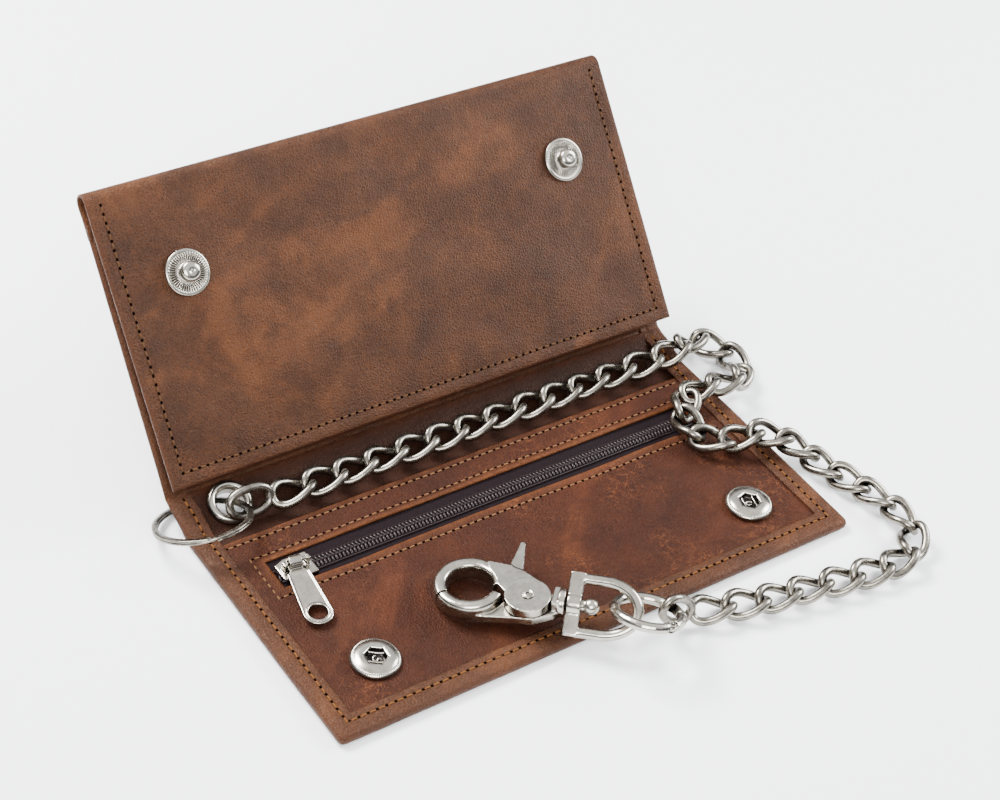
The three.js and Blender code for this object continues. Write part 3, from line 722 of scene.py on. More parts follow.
def make_cover():
    """The outer leather in one skin, with its edges turned over as a swept hem."""
    def low(x, s):
        return 0.0 if s < BASE + 4 else ripple(x, s, 0.25, 3.1) * min(1.0, (SKIN_END - s) / 20)

    xs = steps(-HALF + 2.0, HALF - 2.0, 4.0)
    ss = steps(2.0, SKIN_END, 3.5, HINGE_BENDS + [HINGE_END + HINGE_ARC * k / 4 for k in range(5)])
    skin = slab_parts(xs, ss, low, lambda x, s: low(x, s) + LEATHER_THICK, skin_map, 0.2)[:2]
    us = sorted({(s - 2) / (SKIN_END - 2) for s in ss})
    ts = [t / 46 for t in range(-46, 47)]
    rows = [hem_path(d, us, ts) for d, _ in HEM_PROFILE]
    rings, wear = [], [0.0] * len(skin[0])
    for places in zip(*rows):
        ring = []
        for (d, share), (x, s) in zip(HEM_PROFILE, places):
            rough = wavy = 0.0
            if d > 4.2 and share > 0.85:
                rough = (0.16 * noise.noise(Vector((x * 0.9, s * 0.9, 1.3)))
                         + 0.1 * noise.noise(Vector((x * 2.3, s * 2.3, 4))))
            if share > 0.1:
                wavy = 0.18 * noise.noise(Vector((x * 0.07, s * 0.07, 9.0 + d * 0.05)))
            top = hem_top(s)
            ring.append(lay(x, *skin_map(s, share * top + (rough + wavy) * top / HEM_BASE)))
            rolled, flat = share > 0.3 and d < 1.2, share > 0.5 and d < 4.3
            wear.append(0.6 if rolled else 0.3 if flat else 0.1)
        rings.append(ring)
    hem = sweep(rings)
    size = len(HEM_PROFILE)
    strip = {k for k, (d, share) in enumerate(HEM_PROFILE) if 4.2 < d < 6.0 and share > 0.9}
    frayed = [int(i in strip and (i + 1) % size in strip) for i in range(size)]
    index = [0] * len(skin[1]) + frayed * (len(rings) - 1) + [0, 0]
    cover = make("outer_cover", *gather([skin, hem]), OUTER, FRAYED, wear=wear, material_of=index)
    punch(cover)
    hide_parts("base_leather", "back_leather")
    along = (SLOPE + LEAN) / 2
    bend(cover, "base", "back", AXIS, along + math.pi, along, 3.0)


def make_over():
    """The top fold and the flap, with a rolled rim round the flap's three free edges."""
    straight, arc = OVER_STRAIGHT, FOLD_ARC
    end = straight + arc + FLAP_LENGTH
    xs = steps(-HALF, HALF, 3.0, [side * (HALF - d) for side in (-1, 1)
                                  for d in (1, 2, 4.5, 5.5, HEM, HEM - 0.6)])
    ss = steps(-1.2, end, 3.0, [straight + arc * k / 16 for k in range(17)]
               + [end - 1, end - 2, end - 4.3, end - 5.5])

    def rim(x, s):
        return min(HALF - abs(x), end - s)

    def low(x, s):
        away = rim(x, s)
        on_flap = share_of(s - straight - arc * 0.6, 12)
        puff = -0.28 * hump(away - 2.0, 1.6) * on_flap
        pull = 0.16 * hump(away - 4.3, 0.9) * on_flap
        proud = -0.02 if s < 1 else 0.0
        return proud + puff + pull + over_ripple(x, s) * on_flap * min(1.0, away / 10)

    def high(x, s):
        rolled = 0.62 * share_of(6.2 - rim(x, s), 0.8) * share_of(s - straight - arc, 8)
        hem = 1.45 * share_of(HEM - HALF + abs(x), 0.6) * share_of(straight - 2 - s, 4)
        return low(x, s) + LEATHER_THICK + rolled + hem

    points, faces, far = slab_parts(xs, ss, low, high, over_map, 0.45, 4)
    wear = [max(0.0, 1 - f / 1.6) * 0.9 for f in far]
    over = make("flap_cover", points, faces, OUTER, wear=wear)
    bend_at_fold(slotted(over, "flap_leather"))


# ---------------------------------------------------------------- zip pocket and linings
PANEL_LOW, PANEL_TOP = 2.15, 2.8
PANEL_HALF, PANEL_FRONT, PANEL_REAR = 91.0, 1.3, 80.0
REAR_SEAM = 78.0
WINDOW = (-77.0, 77.0, 56.8, 68.4)
SNAPS = (("left", -68.5), ("right", 68.5))
SNAP_Y = 21.0
ZIP_Y = BASE - 24.7
TAPE_WIDTH = 11.5
TOOTH_PITCH, TEETH_LENGTH = 1.27, 152.4
LINING_STRAIGHT = 8.5  # how far down the back the fold's lining reaches


def window_gap(x, y):
    """The distance outside the zip's window."""
    x0, x1, y0, y1 = WINDOW
    return math.hypot(max(x0 - x, x - x1, 0), max(y0 - y, y - y1, 0))


def make_panel():
    """The zip panel, soft round its stitches, its snaps and its window's turned edges."""
    x0, x1, y0, y1 = WINDOW
    xs = steps(-PANEL_HALF, PANEL_HALF, 2.6, (x0, x1, x0 - 1, x1 + 1, x0 - 3.4, x1 + 3.4))
    ys = steps(PANEL_FRONT, PANEL_REAR, 2.4, (y0, y1, y0 - 0.8, y1 + 0.8, y0 - 2.8, y1 + 2.6,
                                              REAR_SEAM, 79.2))

    def lift(x, y):
        gap = window_gap(x, y)
        roll = 0.42 * hump(gap - 0.9, 1.1)
        seam = -0.16 * hump(gap - 2.7, 0.55)
        rear = 0.3 * hump(PANEL_REAR - y, 1.2) - 0.14 * hump(y - REAR_SEAM, 0.5)
        snap = sum(-0.3 * hump(math.hypot(x - sx, y - SNAP_Y) - 7.5, 2.2) for _, sx in SNAPS)
        inner = min(PANEL_HALF - abs(x), y - PANEL_FRONT)
        return (roll + seam + rear + snap * 0.6 + panel_ripple(x, y)) * share_of(inner - 6.5, 3)

    points, faces, _ = slab_parts(xs, ys, lambda x, s: PANEL_LOW + 0.25 * lift(x, s),
                                  lambda x, s: PANEL_TOP + lift(x, s), flat_map, 0.3)
    panel = make("zip_panel", points, faces, PANEL, wear=[0.0] * len(points))
    with edited(panel) as bm:
        middles = [(f, f.calc_center_median()) for f in bm.faces]
        inside = [f for f, m in middles if x0 < m.x / MM < x1 and y0 < (m.y - FRONT) / MM < y1]
        bmesh.ops.delete(bm, geom=inside, context="FACES")
        bmesh.ops.bridge_loops(bm, edges=[e for e in bm.edges if e.is_boundary])
    worn = []
    for vertex in panel.data.vertices:
        x, y = vertex.co.x / MM, (vertex.co.y - FRONT) / MM
        worn.append(max(0.0, 1 - window_gap(x, y) / 1.6) * 0.8
                    + max(0.0, 1 - (PANEL_REAR - y) / 1.5) * 0.6)
    worn = np.clip(worn, 0, 1).astype(np.float32)
    panel.data.attributes["wear"].data.foreach_set("value", worn)
    slotted(panel, "zip_pocket_panel", "base")


def tooth(x, head, middle, tail):
    """One turn of the zip's coil as it shows from above, from its spine to its head."""
    spine = ((x - 0.28, tail, 0.42, 2.72), (x - 0.1, middle, 0.5, 2.84),
             (x + 0.3, head, 0.46, 2.76))
    return sweep([[lay(at + radius * math.cos(a), y, height + 0.55 * math.sin(a) * radius / 0.5)
                   for a in circle(8)] for at, y, radius, height in spine])


def make_zip():
    for name, side in (("rear", 1), ("front", -1)):
        near = ZIP_Y + side * 0.6
        far = near + side * TAPE_WIDTH
        tape = sheet(f"tape_{name}", steps(-81, 81, 6), steps(min(near, far), max(near, far), 1.2),
                     1.8, 2.05, flat_map, TAPE, 0.1)
        slotted(tape, f"zip_tape_{name}", "base")
        head, tail = ZIP_Y - side * 0.15, near + side * 1.55
        offset = 0.5 if side > 0 else 0.0
        xs = [-TEETH_LENGTH / 2 + TOOTH_PITCH * (k + offset)
              for k in range(int(TEETH_LENGTH / TOOTH_PITCH))]
        parts = [tooth(x, head, (head + tail) / 2, tail) for x in xs]
        start, end = (lay(x, near + side * 1.75, 2.45) for x in (-76.5, 76.5))
        parts.append(sweep([[start.lerp(end, q / 40)
                             + Vector((0, 0.35 * MM * math.cos(a), 0.32 * MM * math.sin(a)))
                             for a in circle(8)] for q in range(41)]))
        teeth = make(f"teeth_{name}", *gather(parts), COIL)
        slotted(teeth, f"zip_coil_{name}", "base")


def make_linings():
    cloth = sheet("pocket_cloth", steps(-87.3, 87.3, 8), steps(8, 78, 7), 1.0, 1.2, flat_map,
                  CLOTH, 0.08)
    slotted(cloth, "pocket_lining", "base")
    hinge = sheet("hinge_strip", steps(-91.2, 91.2, 3.0),
                  steps(78.5, HINGE_END - 0.5, 1.6, HINGE_BENDS), 1.0,
                  lambda x, s: 1.55 + ripple(x, s, 0.25, 8.8), base_map, LINING, 0.25)
    punch(hinge)
    slotted(hinge, "hinge_lining", "base")
    rows = [("back_sheet", "back_lining", -91.2, 91.2, 0.5, 79.2, 1.0, 1.52, 2.0),
            ("bill_sheet", "bill_pocket", -84.2, 84.2, 4, 74, 1.7, 2.12, 3.0)]
    for column, a, b in (("left", -84.2, -2.0), ("right", 2.0, 84.2)):
        for layer, end, low, high, seed in (("rear", 60, 2.22, 2.58, 4.0),
                                            ("front", 46, 2.72, 3.08, 5.0)):
            rows.append((f"slot_{layer}_{column}", f"card_slot_{column}_{layer}", a, b, 5, end,
                         low, high, seed))
    for name, node, a, b, start, end, low, high, seed in rows:
        piece = sheet(name, steps(a, b, 4.5), steps(start, end, 4.5, (end - 1, end - 2)), low,
                      lambda x, s: high + ripple(x, s, 0.18, seed), back_map, LINING, 0.18)
        slotted(piece, node, "back")
    under = sheet("flap_under", steps(-86.4, 86.4, 4.5), steps(3, FLAP_LENGTH - 5.8, 4.5),
                  lambda x, s: 1.02 + flap_ripple(x, s), lambda x, s: 1.5 + flap_ripple(x, s),
                  flap_map, LINING, 0.2)
    slotted(under, "flap_lining", "flap")
    bends = [LINING_STRAIGHT + FOLD_ARC * k / 12 for k in range(13)]
    roll = sheet("fold_roll", steps(-91, 91, 6), steps(0, LINING_STRAIGHT + FOLD_ARC, 2.0, bends),
                 1.15, 1.7, lambda s, n: over_map(s, n, LINING_STRAIGHT), LINING, 0.2)
    bend_at_fold(slotted(roll, "fold_lining"))


# ---------------------------------------------------------------- stitches
STITCH_LIFT, STITCH_GAP = 0.1, 0.22
STITCH_SHARES = (-1, -0.82, -0.4, 0, 0.4, 0.82, 1)
HEM_SEAM = 5.0  # inward from the edge
FLAP_SEAM = 4.3


def stitch_row(path, surface, height, side=1.0, pitch=2.7, size=0.27):
    """Threads and needle holes along a path of (x, s). Side is -1 on the flap's outer face."""
    thread_parts, hole_parts = [], []
    run = [Vector((*p, 0)) for p in path]
    total = sum((b - a).length for a, b in zip(run, run[1:]))
    count = max(1, int(round(total / pitch)))
    real = total / count

    def at(distance):
        """The place, and the directions along and across the row."""
        for a, b in zip(run, run[1:]):
            length = (b - a).length
            if distance <= length + 1e-6:
                break
            distance -= length
        along = (b - a).normalized()
        return a.lerp(b, min(distance / length, 1.0)), along, Vector((-along.y, along.x, 0))

    def spot(p, n):
        return lay(p.x, *surface(p.y, height(p.x, p.y) + side * n))

    def needle(distance):
        p, along, across = at(distance)
        return sweep([[spot(q, n) for q in hoop(p, along, across, length, width, 8)]
                      for length, width, n in ((0.3, 0.24, -0.3), (0.52, 0.42, 0.1))])

    half = real / 2 * (1 - STITCH_GAP)
    for k in range(count):
        middle, along, across = at((k + 0.5) * real)
        skew = random.uniform(-0.08, 0.08)
        rings = []
        for share in STITCH_SHARES:
            p = middle + along * half * share + across * (skew * share)
            n = STITCH_LIFT - 0.42 * abs(share) ** 3
            width = size * (1 - 0.35 * abs(share) ** 4)
            rings.append([spot(p + across * (width * math.cos(a)), n + width * 0.8 * math.sin(a))
                          for a in circle(6)])
        thread_parts.append(sweep(rings))
        hole_parts.append(needle(k * real))
    hole_parts.append(needle(total))
    return thread_parts, hole_parts


def add_stitches(name, rows, material, body):
    threads, holes = (sum(kinds, []) for kinds in zip(*rows))
    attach(make(f"stitches_{name}", *gather(threads), material), body)
    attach(make(f"needle_holes_{name}", *gather(holes), NEEDLE), body)


def make_stitches():
    x0, x1, y0, y1 = WINDOW
    left, right, upper, lower = x0 - 3.4, x1 + 5, y1 + 2.6, y0 - 2.8
    on_panel = (flat_map, lambda x, s: PANEL_TOP + panel_ripple(x, s) - 0.12)
    rows = [stitch_row([(-84.2, REAR_SEAM), (84.2, REAR_SEAM)], *on_panel),
            stitch_row([(right, upper), (left, upper), (left, lower), (right, lower)], *on_panel)]
    add_stitches("panel", rows, THREAD, "base")
    on_hem = (skin_map, lambda x, s: hem_top(s) * 0.955, 1.0, 3.0, 0.3)
    edge, end = HALF - HEM_SEAM, HINGE_END - 2.0
    path = [(-edge, end), (-edge, HEM_SEAM), (edge, HEM_SEAM), (edge, end)]
    add_stitches("hem", [stitch_row(path, *on_hem)], GOLD_THREAD, "base")
    start = HINGE_END + HINGE_ARC + 3.0
    sides = [stitch_row([(x, start), (x, SKIN_END - 4)], *on_hem) for x in (-edge, edge)]
    add_stitches("back", sides, GOLD_THREAD, "back")
    edge, end = HALF - FLAP_SEAM - 0.2, FLAP_LENGTH - FLAP_SEAM
    path = [(-edge, 1.5), (-edge, end), (edge, end), (edge, 1.5)]
    row = stitch_row(path, flap_map, lambda x, s: 0.06 + flap_ripple(x, s) * 0.43, -1.0)
    add_stitches("flap", [row], FLAP_THREAD, "flap")


# ---------------------------------------------------------------- turned and cast metal
SOCKET_PROFILE = (  # radius and height, from the middle of the cup, over its mouth, to its rim
    (0.01, 0.12), (2.2, 0.12), (2.75, 0.2), (2.8, 0.9), (2.85, 1.7), (3.05, 2.0), (3.6, 2.16),
    (4.6, 2.14), (5.5, 1.92), (6.2, 1.62), (6.45, 1.44), (6.6, 1.47), (6.85, 1.36), (7.2, 1.05),
    (7.45, 0.72), (7.5, 0.35), (7.3, 0.04), (0.01, 0.02))
STUD_PROFILE = (  # radius and height, from the head's crown, down its neck, to its flange
    (0.01, 4.42), (1.6, 4.38), (2.5, 4.16), (2.95, 3.7), (3.02, 3.2), (2.8, 2.6), (2.62, 1.9),
    (2.7, 1.25), (3.05, 0.95), (3.5, 0.7), (4.1, 0.72), (5.1, 0.74), (5.8, 0.82), (6.1, 0.98),
    (6.5, 1.02), (6.95, 0.86), (7.1, 0.5), (6.9, 0.02), (0.01, 0.02))
STUD_FROM_FOLD = 27.0
RIVET_PROFILE = (
    (0.01, -3.0), (1.15, -2.95), (1.15, 3.3), (1.85, 3.35), (1.9, 3.5), (1.75, 3.68), (1.5, 3.7),
    (1.3, 3.5), (1.15, 3.48), (0.95, 3.66), (0.7, 3.6), (0.6, 3.1), (0.01, 3.0))


def turned_points(profile, sides, shape=None):
    """A turned shape about Z. shape may change a point's radius and height with the angle."""
    rings = []
    for turn in circle(sides):
        ring = []
        for index, (radius, height) in enumerate(profile):
            if shape:
                radius, height = shape(index, radius, height, turn)
            ring.append(Vector((radius * math.cos(turn) * MM, radius * math.sin(turn) * MM,
                                height * MM)))
        rings.append(ring)
    return sweep(rings, closed=True)


def seat(name, shape, matrix, material, node, body):
    points, faces = shape
    piece = make(name, [matrix @ p for p in points], faces, material, weld=1e-6)
    return slotted(piece, node, body)


def darken(piece, matrix, radius, low, high):
    """Gives the faces inside an upright cylinder of the matrix's frame the shadowed metal."""
    piece.data.materials.append(SHADOWED)
    away = matrix.inverted()
    for face in piece.data.polygons:
        place = away @ face.center / MM
        if math.hypot(place.x, place.y) < radius and low < place.z < high:
            face.material_index = 1


def wire_rings(spine, radius, sides):
    """Rings round a list of points, with a frame that turns as little as it can."""
    rings = []
    normal = (spine[1] - spine[0]).normalized().orthogonal().normalized()
    for k, point in enumerate(spine):
        ahead = spine[min(k + 1, len(spine) - 1)] - spine[max(k - 1, 0)]
        ahead.normalize()
        normal = (normal - ahead * normal.dot(ahead)).normalized()
        rings.append(hoop(point, normal, ahead.cross(normal), radius, radius, sides))
    return rings


def wire(spine, radius, sides=14, closed=False):
    return sweep(wire_rings([Vector(p) for p in spine], radius, sides), closed)


def make_snaps():
    def socket_shape(index, radius, height, turn):
        """The mouth is a hexagon, and the rim is finely knurled."""
        if 2 <= index <= 5:
            sixth = math.pi / 3
            return radius / math.cos((turn + sixth / 2) % sixth - sixth / 2), height
        if 11 <= index <= 12:
            return radius, height + 0.05 * math.cos(turn * 72)
        return radius, height

    def stud_shape(index, radius, height, turn):
        """The flange is fluted."""
        if 9 <= index <= 12:
            share = (0.4, 1, 1, 0.5)[index - 9]
            return radius, height + 0.26 * share * math.cos(turn * 44)
        return radius, height

    right = Vector((1, 0, 0))
    out = Vector((0, math.sin(FLAP_TURN), -math.cos(FLAP_TURN)))
    on_flap = Matrix((right, out.cross(right), out)).transposed().to_4x4()
    springs = [[(side * 1.75, -2.5 + 5.0 * k / 12, 1.25 - 0.25 * math.sin(a))
                for k, a in enumerate(fan(math.pi, 12))] for side in (-1, 1)]
    springs = [wire([Vector(p) * MM for p in spine], 0.24 * MM, 10) for spine in springs]
    curl = [Vector((0.95 * math.cos(a), 0.75 * math.sin(a), 0.42 + 0.1 * math.sin(3 * a))) * MM
            for a in fan(math.pi * 1.7, 16)]
    points, faces = gather(springs + [wire(curl, 0.3 * MM, 10)])
    for name, x in SNAPS:
        centre = Matrix.Translation(lay(x, SNAP_Y, PANEL_TOP + 0.1))
        place = centre @ Matrix.Rotation(0.35 + x, 4, "Z")
        cup = seat(f"socket_{name}", turned_points(SOCKET_PROFILE, 432, socket_shape), place,
                   NICKEL, f"snap_socket_{name}", "base")
        darken(cup, centre, 3.4, 0.05, 1.75)
        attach(make(f"socket_spring_{name}", [place @ p for p in points], faces, NICKEL), "base")
        place = Matrix.Translation(lay(x, *flap_map(STUD_FROM_FOLD, -0.1))) @ on_flap
        seat(f"stud_{name}", turned_points(STUD_PROFILE, 352, stud_shape), place, NICKEL,
             f"snap_stud_{name}", "flap")


def make_eyelet():
    hole, rim = 4.25, 7.2
    middle, half = (hole + rim) / 2, (rim - hole) / 2
    profile = [(middle + half * math.cos(a), 1.72 + 1.9 * math.sin(a)) for a in fan(math.pi, 12)]
    profile += [(hole, 0.6), (hole, -0.6), (hole + 0.6, -0.6), (hole + 0.6, 1.7)]
    x, along = EYELET
    place = Matrix.Translation(lay(x, BASE + along * math.cos(SLOPE), along * math.sin(SLOPE)))
    seat("eyelet_ring", turned_points(profile, 96), place @ Matrix.Rotation(SLOPE, 4, "X"), NICKEL,
         "eyelet", "base")


def make_split_ring():
    """Flat wire wound nearly twice round, stepping over itself where its turns cross."""
    middle, half_band, thick, count = 14.1, 0.9, 0.72, 150
    rings = []
    for k in range(count + 1):
        share = k / count
        turn = math.radians(-100) + share * math.radians(712)
        climb = 0.5 - 0.5 * math.cos(math.pi * share_of(share - 0.44, 0.12))
        height = -0.4 + 0.8 * climb
        radial = Vector((math.cos(turn), math.sin(turn), 0))
        ring = []
        for cx, cz in ((-1, -1), (1, -1), (1, 1), (-1, 1)):
            nudges = ((1.0, 0.7), (0.82, 1.0))
            for across, up in nudges if cx * cz > 0 else reversed(nudges):
                ring.append(radial * ((middle + cx * half_band * across) * MM)
                            + Vector((0, 0, (height + cz * thick / 2 * up) * MM)))
        rings.append(ring)
    low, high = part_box("split_ring")
    place = Matrix.Translation((low + high) / 2) @ Matrix.Rotation(math.radians(-23), 4, "X")
    seat("split_ring_coil", sweep(rings), place, STEEL, "split_ring", "split_ring")


def node_frame(origin, z, y):
    """A node's own frame: its origin, and its turns in degrees about Z and then Y."""
    return (Matrix.Translation(lay(*origin)) @ Matrix.Rotation(math.radians(z), 4, "Z")
            @ Matrix.Rotation(math.radians(y), 4, "Y"))


def melt(name, mesh, voxel, rounds):
    """One casting: a mesh's overlapping closed parts joined, with their corners rounded off."""
    obj = link(name, mesh)
    remesh = obj.modifiers.new("remesh", "REMESH")
    remesh.mode = "VOXEL"
    remesh.voxel_size = voxel * MM
    remesh.use_smooth_shade = True
    smooth = obj.modifiers.new("smooth", "SMOOTH")
    smooth.factor = 0.5
    smooth.iterations = rounds
    bpy.context.view_layer.update()
    depsgraph = bpy.context.evaluated_depsgraph_get()
    result = bpy.data.meshes.new_from_object(obj.evaluated_get(depsgraph))
    obj.modifiers.clear()
    obj.data = result
    result.materials.clear()
    result.materials.append(NICKEL)
    remember(obj)
    return obj


def cast(node, name, voxel, rounds, body):
    """A casting that follows its node's own shape."""
    obj = melt(name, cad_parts[node].data.copy(), voxel, rounds)
    slotted(obj, node, body)


def fuse(parts, matrix, node, name, voxel, rounds, body):
    """A casting made from overlapping parts, given in millimetres in the matrix's frame."""
    shells = []
    for points, faces in parts:
        shell = make("part", [matrix @ (Vector(p) * MM) for p in points], faces, NICKEL)
        mesh = shell.data
        shells.append(([v.co.copy() for v in mesh.vertices],
                       [tuple(f.vertices) for f in mesh.polygons]))
        bpy.data.objects.remove(shell)
        bpy.data.meshes.remove(mesh)
    points, faces = gather(shells)
    mesh = bpy.data.meshes.new(name)
    mesh.from_pydata([tuple(p) for p in points], [], faces)
    slotted(melt(name, mesh, voxel, rounds), node, body)


def block(x0, x1, y0, y1, z0, z1):
    points = [(x, y, z) for x in (x0, x1) for y in (y0, y1) for z in (z0, z1)]
    return points, [(0, 1, 3, 2), (4, 6, 7, 5), (0, 4, 5, 1), (2, 3, 7, 6), (0, 2, 6, 4),
                    (1, 5, 7, 3)]


def pipe_along_x(x0, x1, inner, outer):
    corners = ((x0, inner), (x0, outer), (x1, outer), (x1, inner))
    return sweep([[(x, r * math.cos(a), r * math.sin(a)) for x, r in corners]
                  for a in circle(40)], closed=True)


def plate(low, high, outline, *holes):
    """A flat plate: the rims are walls, and the two faces are filled between them."""
    loops = [outline, *holes]
    bm = bmesh.new()
    for z in (low, high):
        edges = []
        for loop in loops:
            verts = [bm.verts.new((x, y, z)) for x, y in loop]
            edges += [bm.edges.new((a, b)) for a, b in zip(verts, verts[1:] + verts[:1])]
        bmesh.ops.triangle_fill(bm, use_beauty=True, use_dissolve=False, edges=edges)
    bm.verts.ensure_lookup_table()
    half = len(bm.verts) // 2
    offset = 0
    for loop in loops:
        for i in range(len(loop)):
            a, b = offset + i, offset + (i + 1) % len(loop)
            bm.faces.new([bm.verts[v] for v in (a, b, b + half, a + half)])
        offset += len(loop)
    bmesh.ops.recalc_face_normals(bm, faces=bm.faces)
    bm.verts.index_update()
    points = [tuple(v.co) for v in bm.verts]
    faces = [tuple(v.index for v in f.verts) for f in bm.faces]
    bm.free()
    return points, faces


def oval(x, y, radius, count=40):
    return [(x + radius * math.cos(a), y + radius * math.sin(a)) for a in circle(count)]


# ---------------------------------------------------------------- hook and slider
HOOK = (-32.3, 28.2, 7.302)
HOOK_TURN, HOOK_TILT = -46, -6.9
PIVOT = (17.4, -1.9)  # the trigger's, from the middle of the hook's ring
EYE_START, EYE_WIRE, EYE_HALF = 28.5, 3.3, 7.8
EYE_ROLL = 36.9
SHELF = ((3, -10.2), (14, -8.6), (20, -8), (26.3, -4.2), (26.3, 3.4), (21, 3.4), PIVOT,
         (10.8, -2.1), (9.6, -2.6), (6.3, -3.4))
WEB = ((3.4, 9.7), (10.5, 9.2), (11.6, 8.4), (14.6, 7.6), (20, 4.3), PIVOT, (10.8, -1.9),
       (8.2, 0.6), (7.6, 2.6), (4.8, 6.4))
SPUR = ((9.9, 8.4), (11.2, 19.3), (11.9, 19.9), (12.7, 19.4), (14.4, 7.2))
PULLER = (-70.5 - 0.6, ZIP_Y, 6.35)
PULLER_TIP = -23.4 + 4.15


def ring_arc(start, end, square, reach=2.05, height=3.05, middle=8.65):
    """A stretch of the hook's ring, with a section between round and square."""
    def bulge(value):
        return math.copysign(abs(value) ** (2 / square), value)

    section = [(bulge(math.cos(a)) * reach, bulge(math.sin(a)) * height) for a in circle(28)]
    turns = [math.radians(start + turn) for turn in fan(end - start, 56)]
    return sweep([[((middle + u) * math.cos(turn), (middle + u) * math.sin(turn), v)
                   for u, v in section] for turn in turns])


def drum(radius, low, high):
    return plate(low, high, oval(*PIVOT, radius, 44))


def make_hook():
    hook = node_frame(HOOK, HOOK_TURN, HOOK_TILT)
    ball = [(max(2.5 * math.sin(a), 0.01), 2.5 * math.cos(a)) for a in fan(math.pi, 14)]
    points, faces = turned_points(ball, 28)
    knob = [(p.z / MM + 35.6, p.x / MM, p.y / MM) for p in points], faces
    parts = [ring_arc(219, 345, 2.7), plate(-3, -0.2, SHELF), drum(6.4, -3, -0.2),
             block(24.6, 26.7, -3.8, 3.4, -3, 3), pipe_along_x(26.3, 28.2, 0.02, 4.2),
             pipe_along_x(27, 35, 0.02, 1.85), knob]
    fuse(parts, hook, "hook_body", "hook_casting", 0.2, 8, "base")
    parts = [ring_arc(5, 217, 3.6, 2.0, 3.1), plate(0.1, 3.2, WEB), drum(6.8, 0.1, 3.25),
             plate(0.5, 2.9, SPUR)]
    fuse(parts, hook, "trigger_jaw", "jaw_casting", 0.18, 8, "trigger")
    pivot = hook @ Matrix.Translation((PIVOT[0] * MM, PIVOT[1] * MM, 0))
    pin = seat("jaw_pin", turned_points(RIVET_PROFILE, 40), pivot, NICKEL, "jaw_rivet", "base")
    darken(pin, pivot, 0.68, 2.9, 10)

    half = EYE_WIRE / 2
    foot, middle, reach = EYE_START + 1.9, EYE_START + 10.4, 12.1 - half
    stretch = middle - EYE_START - 1.9
    spine = [(foot + t * stretch / 8, -EYE_HALF, 0) for t in range(8)]
    spine += [(middle + reach * math.sin(a), -EYE_HALF * math.cos(a), 0)
              for a in fan(math.pi, 36)]
    spine += [(middle - t * stretch / 8, EYE_HALF, 0) for t in range(1, 9)]
    parts = [wire(spine, half), pipe_along_x(EYE_START + 0.1, EYE_START + 4.3, 2.25, 3.2)]
    for side in (-1, 1):
        low, high = sorted((side * 2.9, side * (EYE_HALF + half)))
        parts.append(block(EYE_START, EYE_START + 4.3, low, high, -half - 0.05, half + 0.05))
    rolled = hook @ Matrix.Rotation(math.radians(EYE_ROLL), 4, "X")
    fuse(parts, rolled, "swivel_eye", "swivel_casting", 0.24, 24, "eye")
    cast("gate_ring", "gate_ring_wire", 0.18, 6, "ring")
    cast("ring_gate", "gate_wire", 0.16, 4, "gate")


def make_slider():
    cast("zip_slider", "slider_casting", 0.14, 16, "slider")
    frame_of_puller = node_frame(PULLER, -9.4, 0) @ Matrix.Rotation(math.radians(3), 4, "X")
    shoulder = [(1.9, 0.0), (1.9, -2.0), (3.15, -3.5)]
    tip = [(-4.15 * math.cos(a), PULLER_TIP - 4.15 * math.sin(a)) for a in fan(math.pi, 24)]
    outline = [(-x, y) for x, y in shoulder] + tip + shoulder[::-1]
    low, high = -1.9, -0.7
    parts = [plate(low, high, outline, oval(0, PULLER_TIP, 2.75)),
             pipe_along_x(-1.9, 1.9, 1.12, 1.95),
             wire([(x, y, high - 0.1) for x, y in outline[2:-2]], 0.42, 10),
             wire([(x, y, high - 0.12) for x, y in oval(0, PULLER_TIP, 3.2, 48)], 0.45, 10, True)]
    fuse(parts, frame_of_puller, "zip_puller", "puller_casting", 0.13, 5, "puller")


# ---------------------------------------------------------------- chain
TUBE = 7.6
FLOOR_Z = TUBE / 2 + 0.2
PANEL_Z = PANEL_TOP + FLOOR_Z
HEM_Z = HEM_BASE + FLOOR_Z
ROUTE = [
    (-62.4, 87.4, PANEL_Z), (-34, 87.3, PANEL_Z), (0, 87.2, PANEL_Z), (34, 87.2, PANEL_Z),
    (66, 87.2, PANEL_Z), (79, 87, PANEL_Z + 0.4), (88, 86.2, HEM_Z + 1.2), (96, 88.2, 7.8),
    (103, 88.6, 4.8), (107.4, 82.5, FLOOR_Z), (106.4, 73.5, FLOOR_Z + 0.4), (100.4, 67.4, 7),
    (91.5, 66.4, HEM_Z + 0.8), (82.5, 67.4, HEM_Z), (74.8, 63.2, HEM_Z), (70.6, 55, HEM_Z),
    (73.4, 46.8, PANEL_Z + 0.2), (81, 43.4, HEM_Z), (89.5, 40.2, HEM_Z + 1), (96.8, 32.8, 6.4),
    (101.4, 21.5, FLOOR_Z), (105.8, 8.6, FLOOR_Z), (108.4, -3.6, FLOOR_Z), (105, -15.4, FLOOR_Z),
    (95, -20.6, FLOOR_Z), (80, -20, FLOOR_Z), (62, -16.8, FLOOR_Z), (44, -13.6, FLOOR_Z),
    (33, -10.4, FLOOR_Z), (23.8, -8.2, 4.4),
]
LINK_PITCH = 10.9
TIGHT_PITCH = 9.6  # in the tangle, which lies between these lengths
TIGHT_RUN = (150.0, 290.0)
LINK_WIRE = 2.65
LINK_WIDTH = 10.6
LINK_TWIST = -45.0
RIDERS = ("split_ring_coil", "gate_ring_wire", "gate_wire", "hook_casting", "jaw_casting",
          "swivel_casting", "jaw_pin")


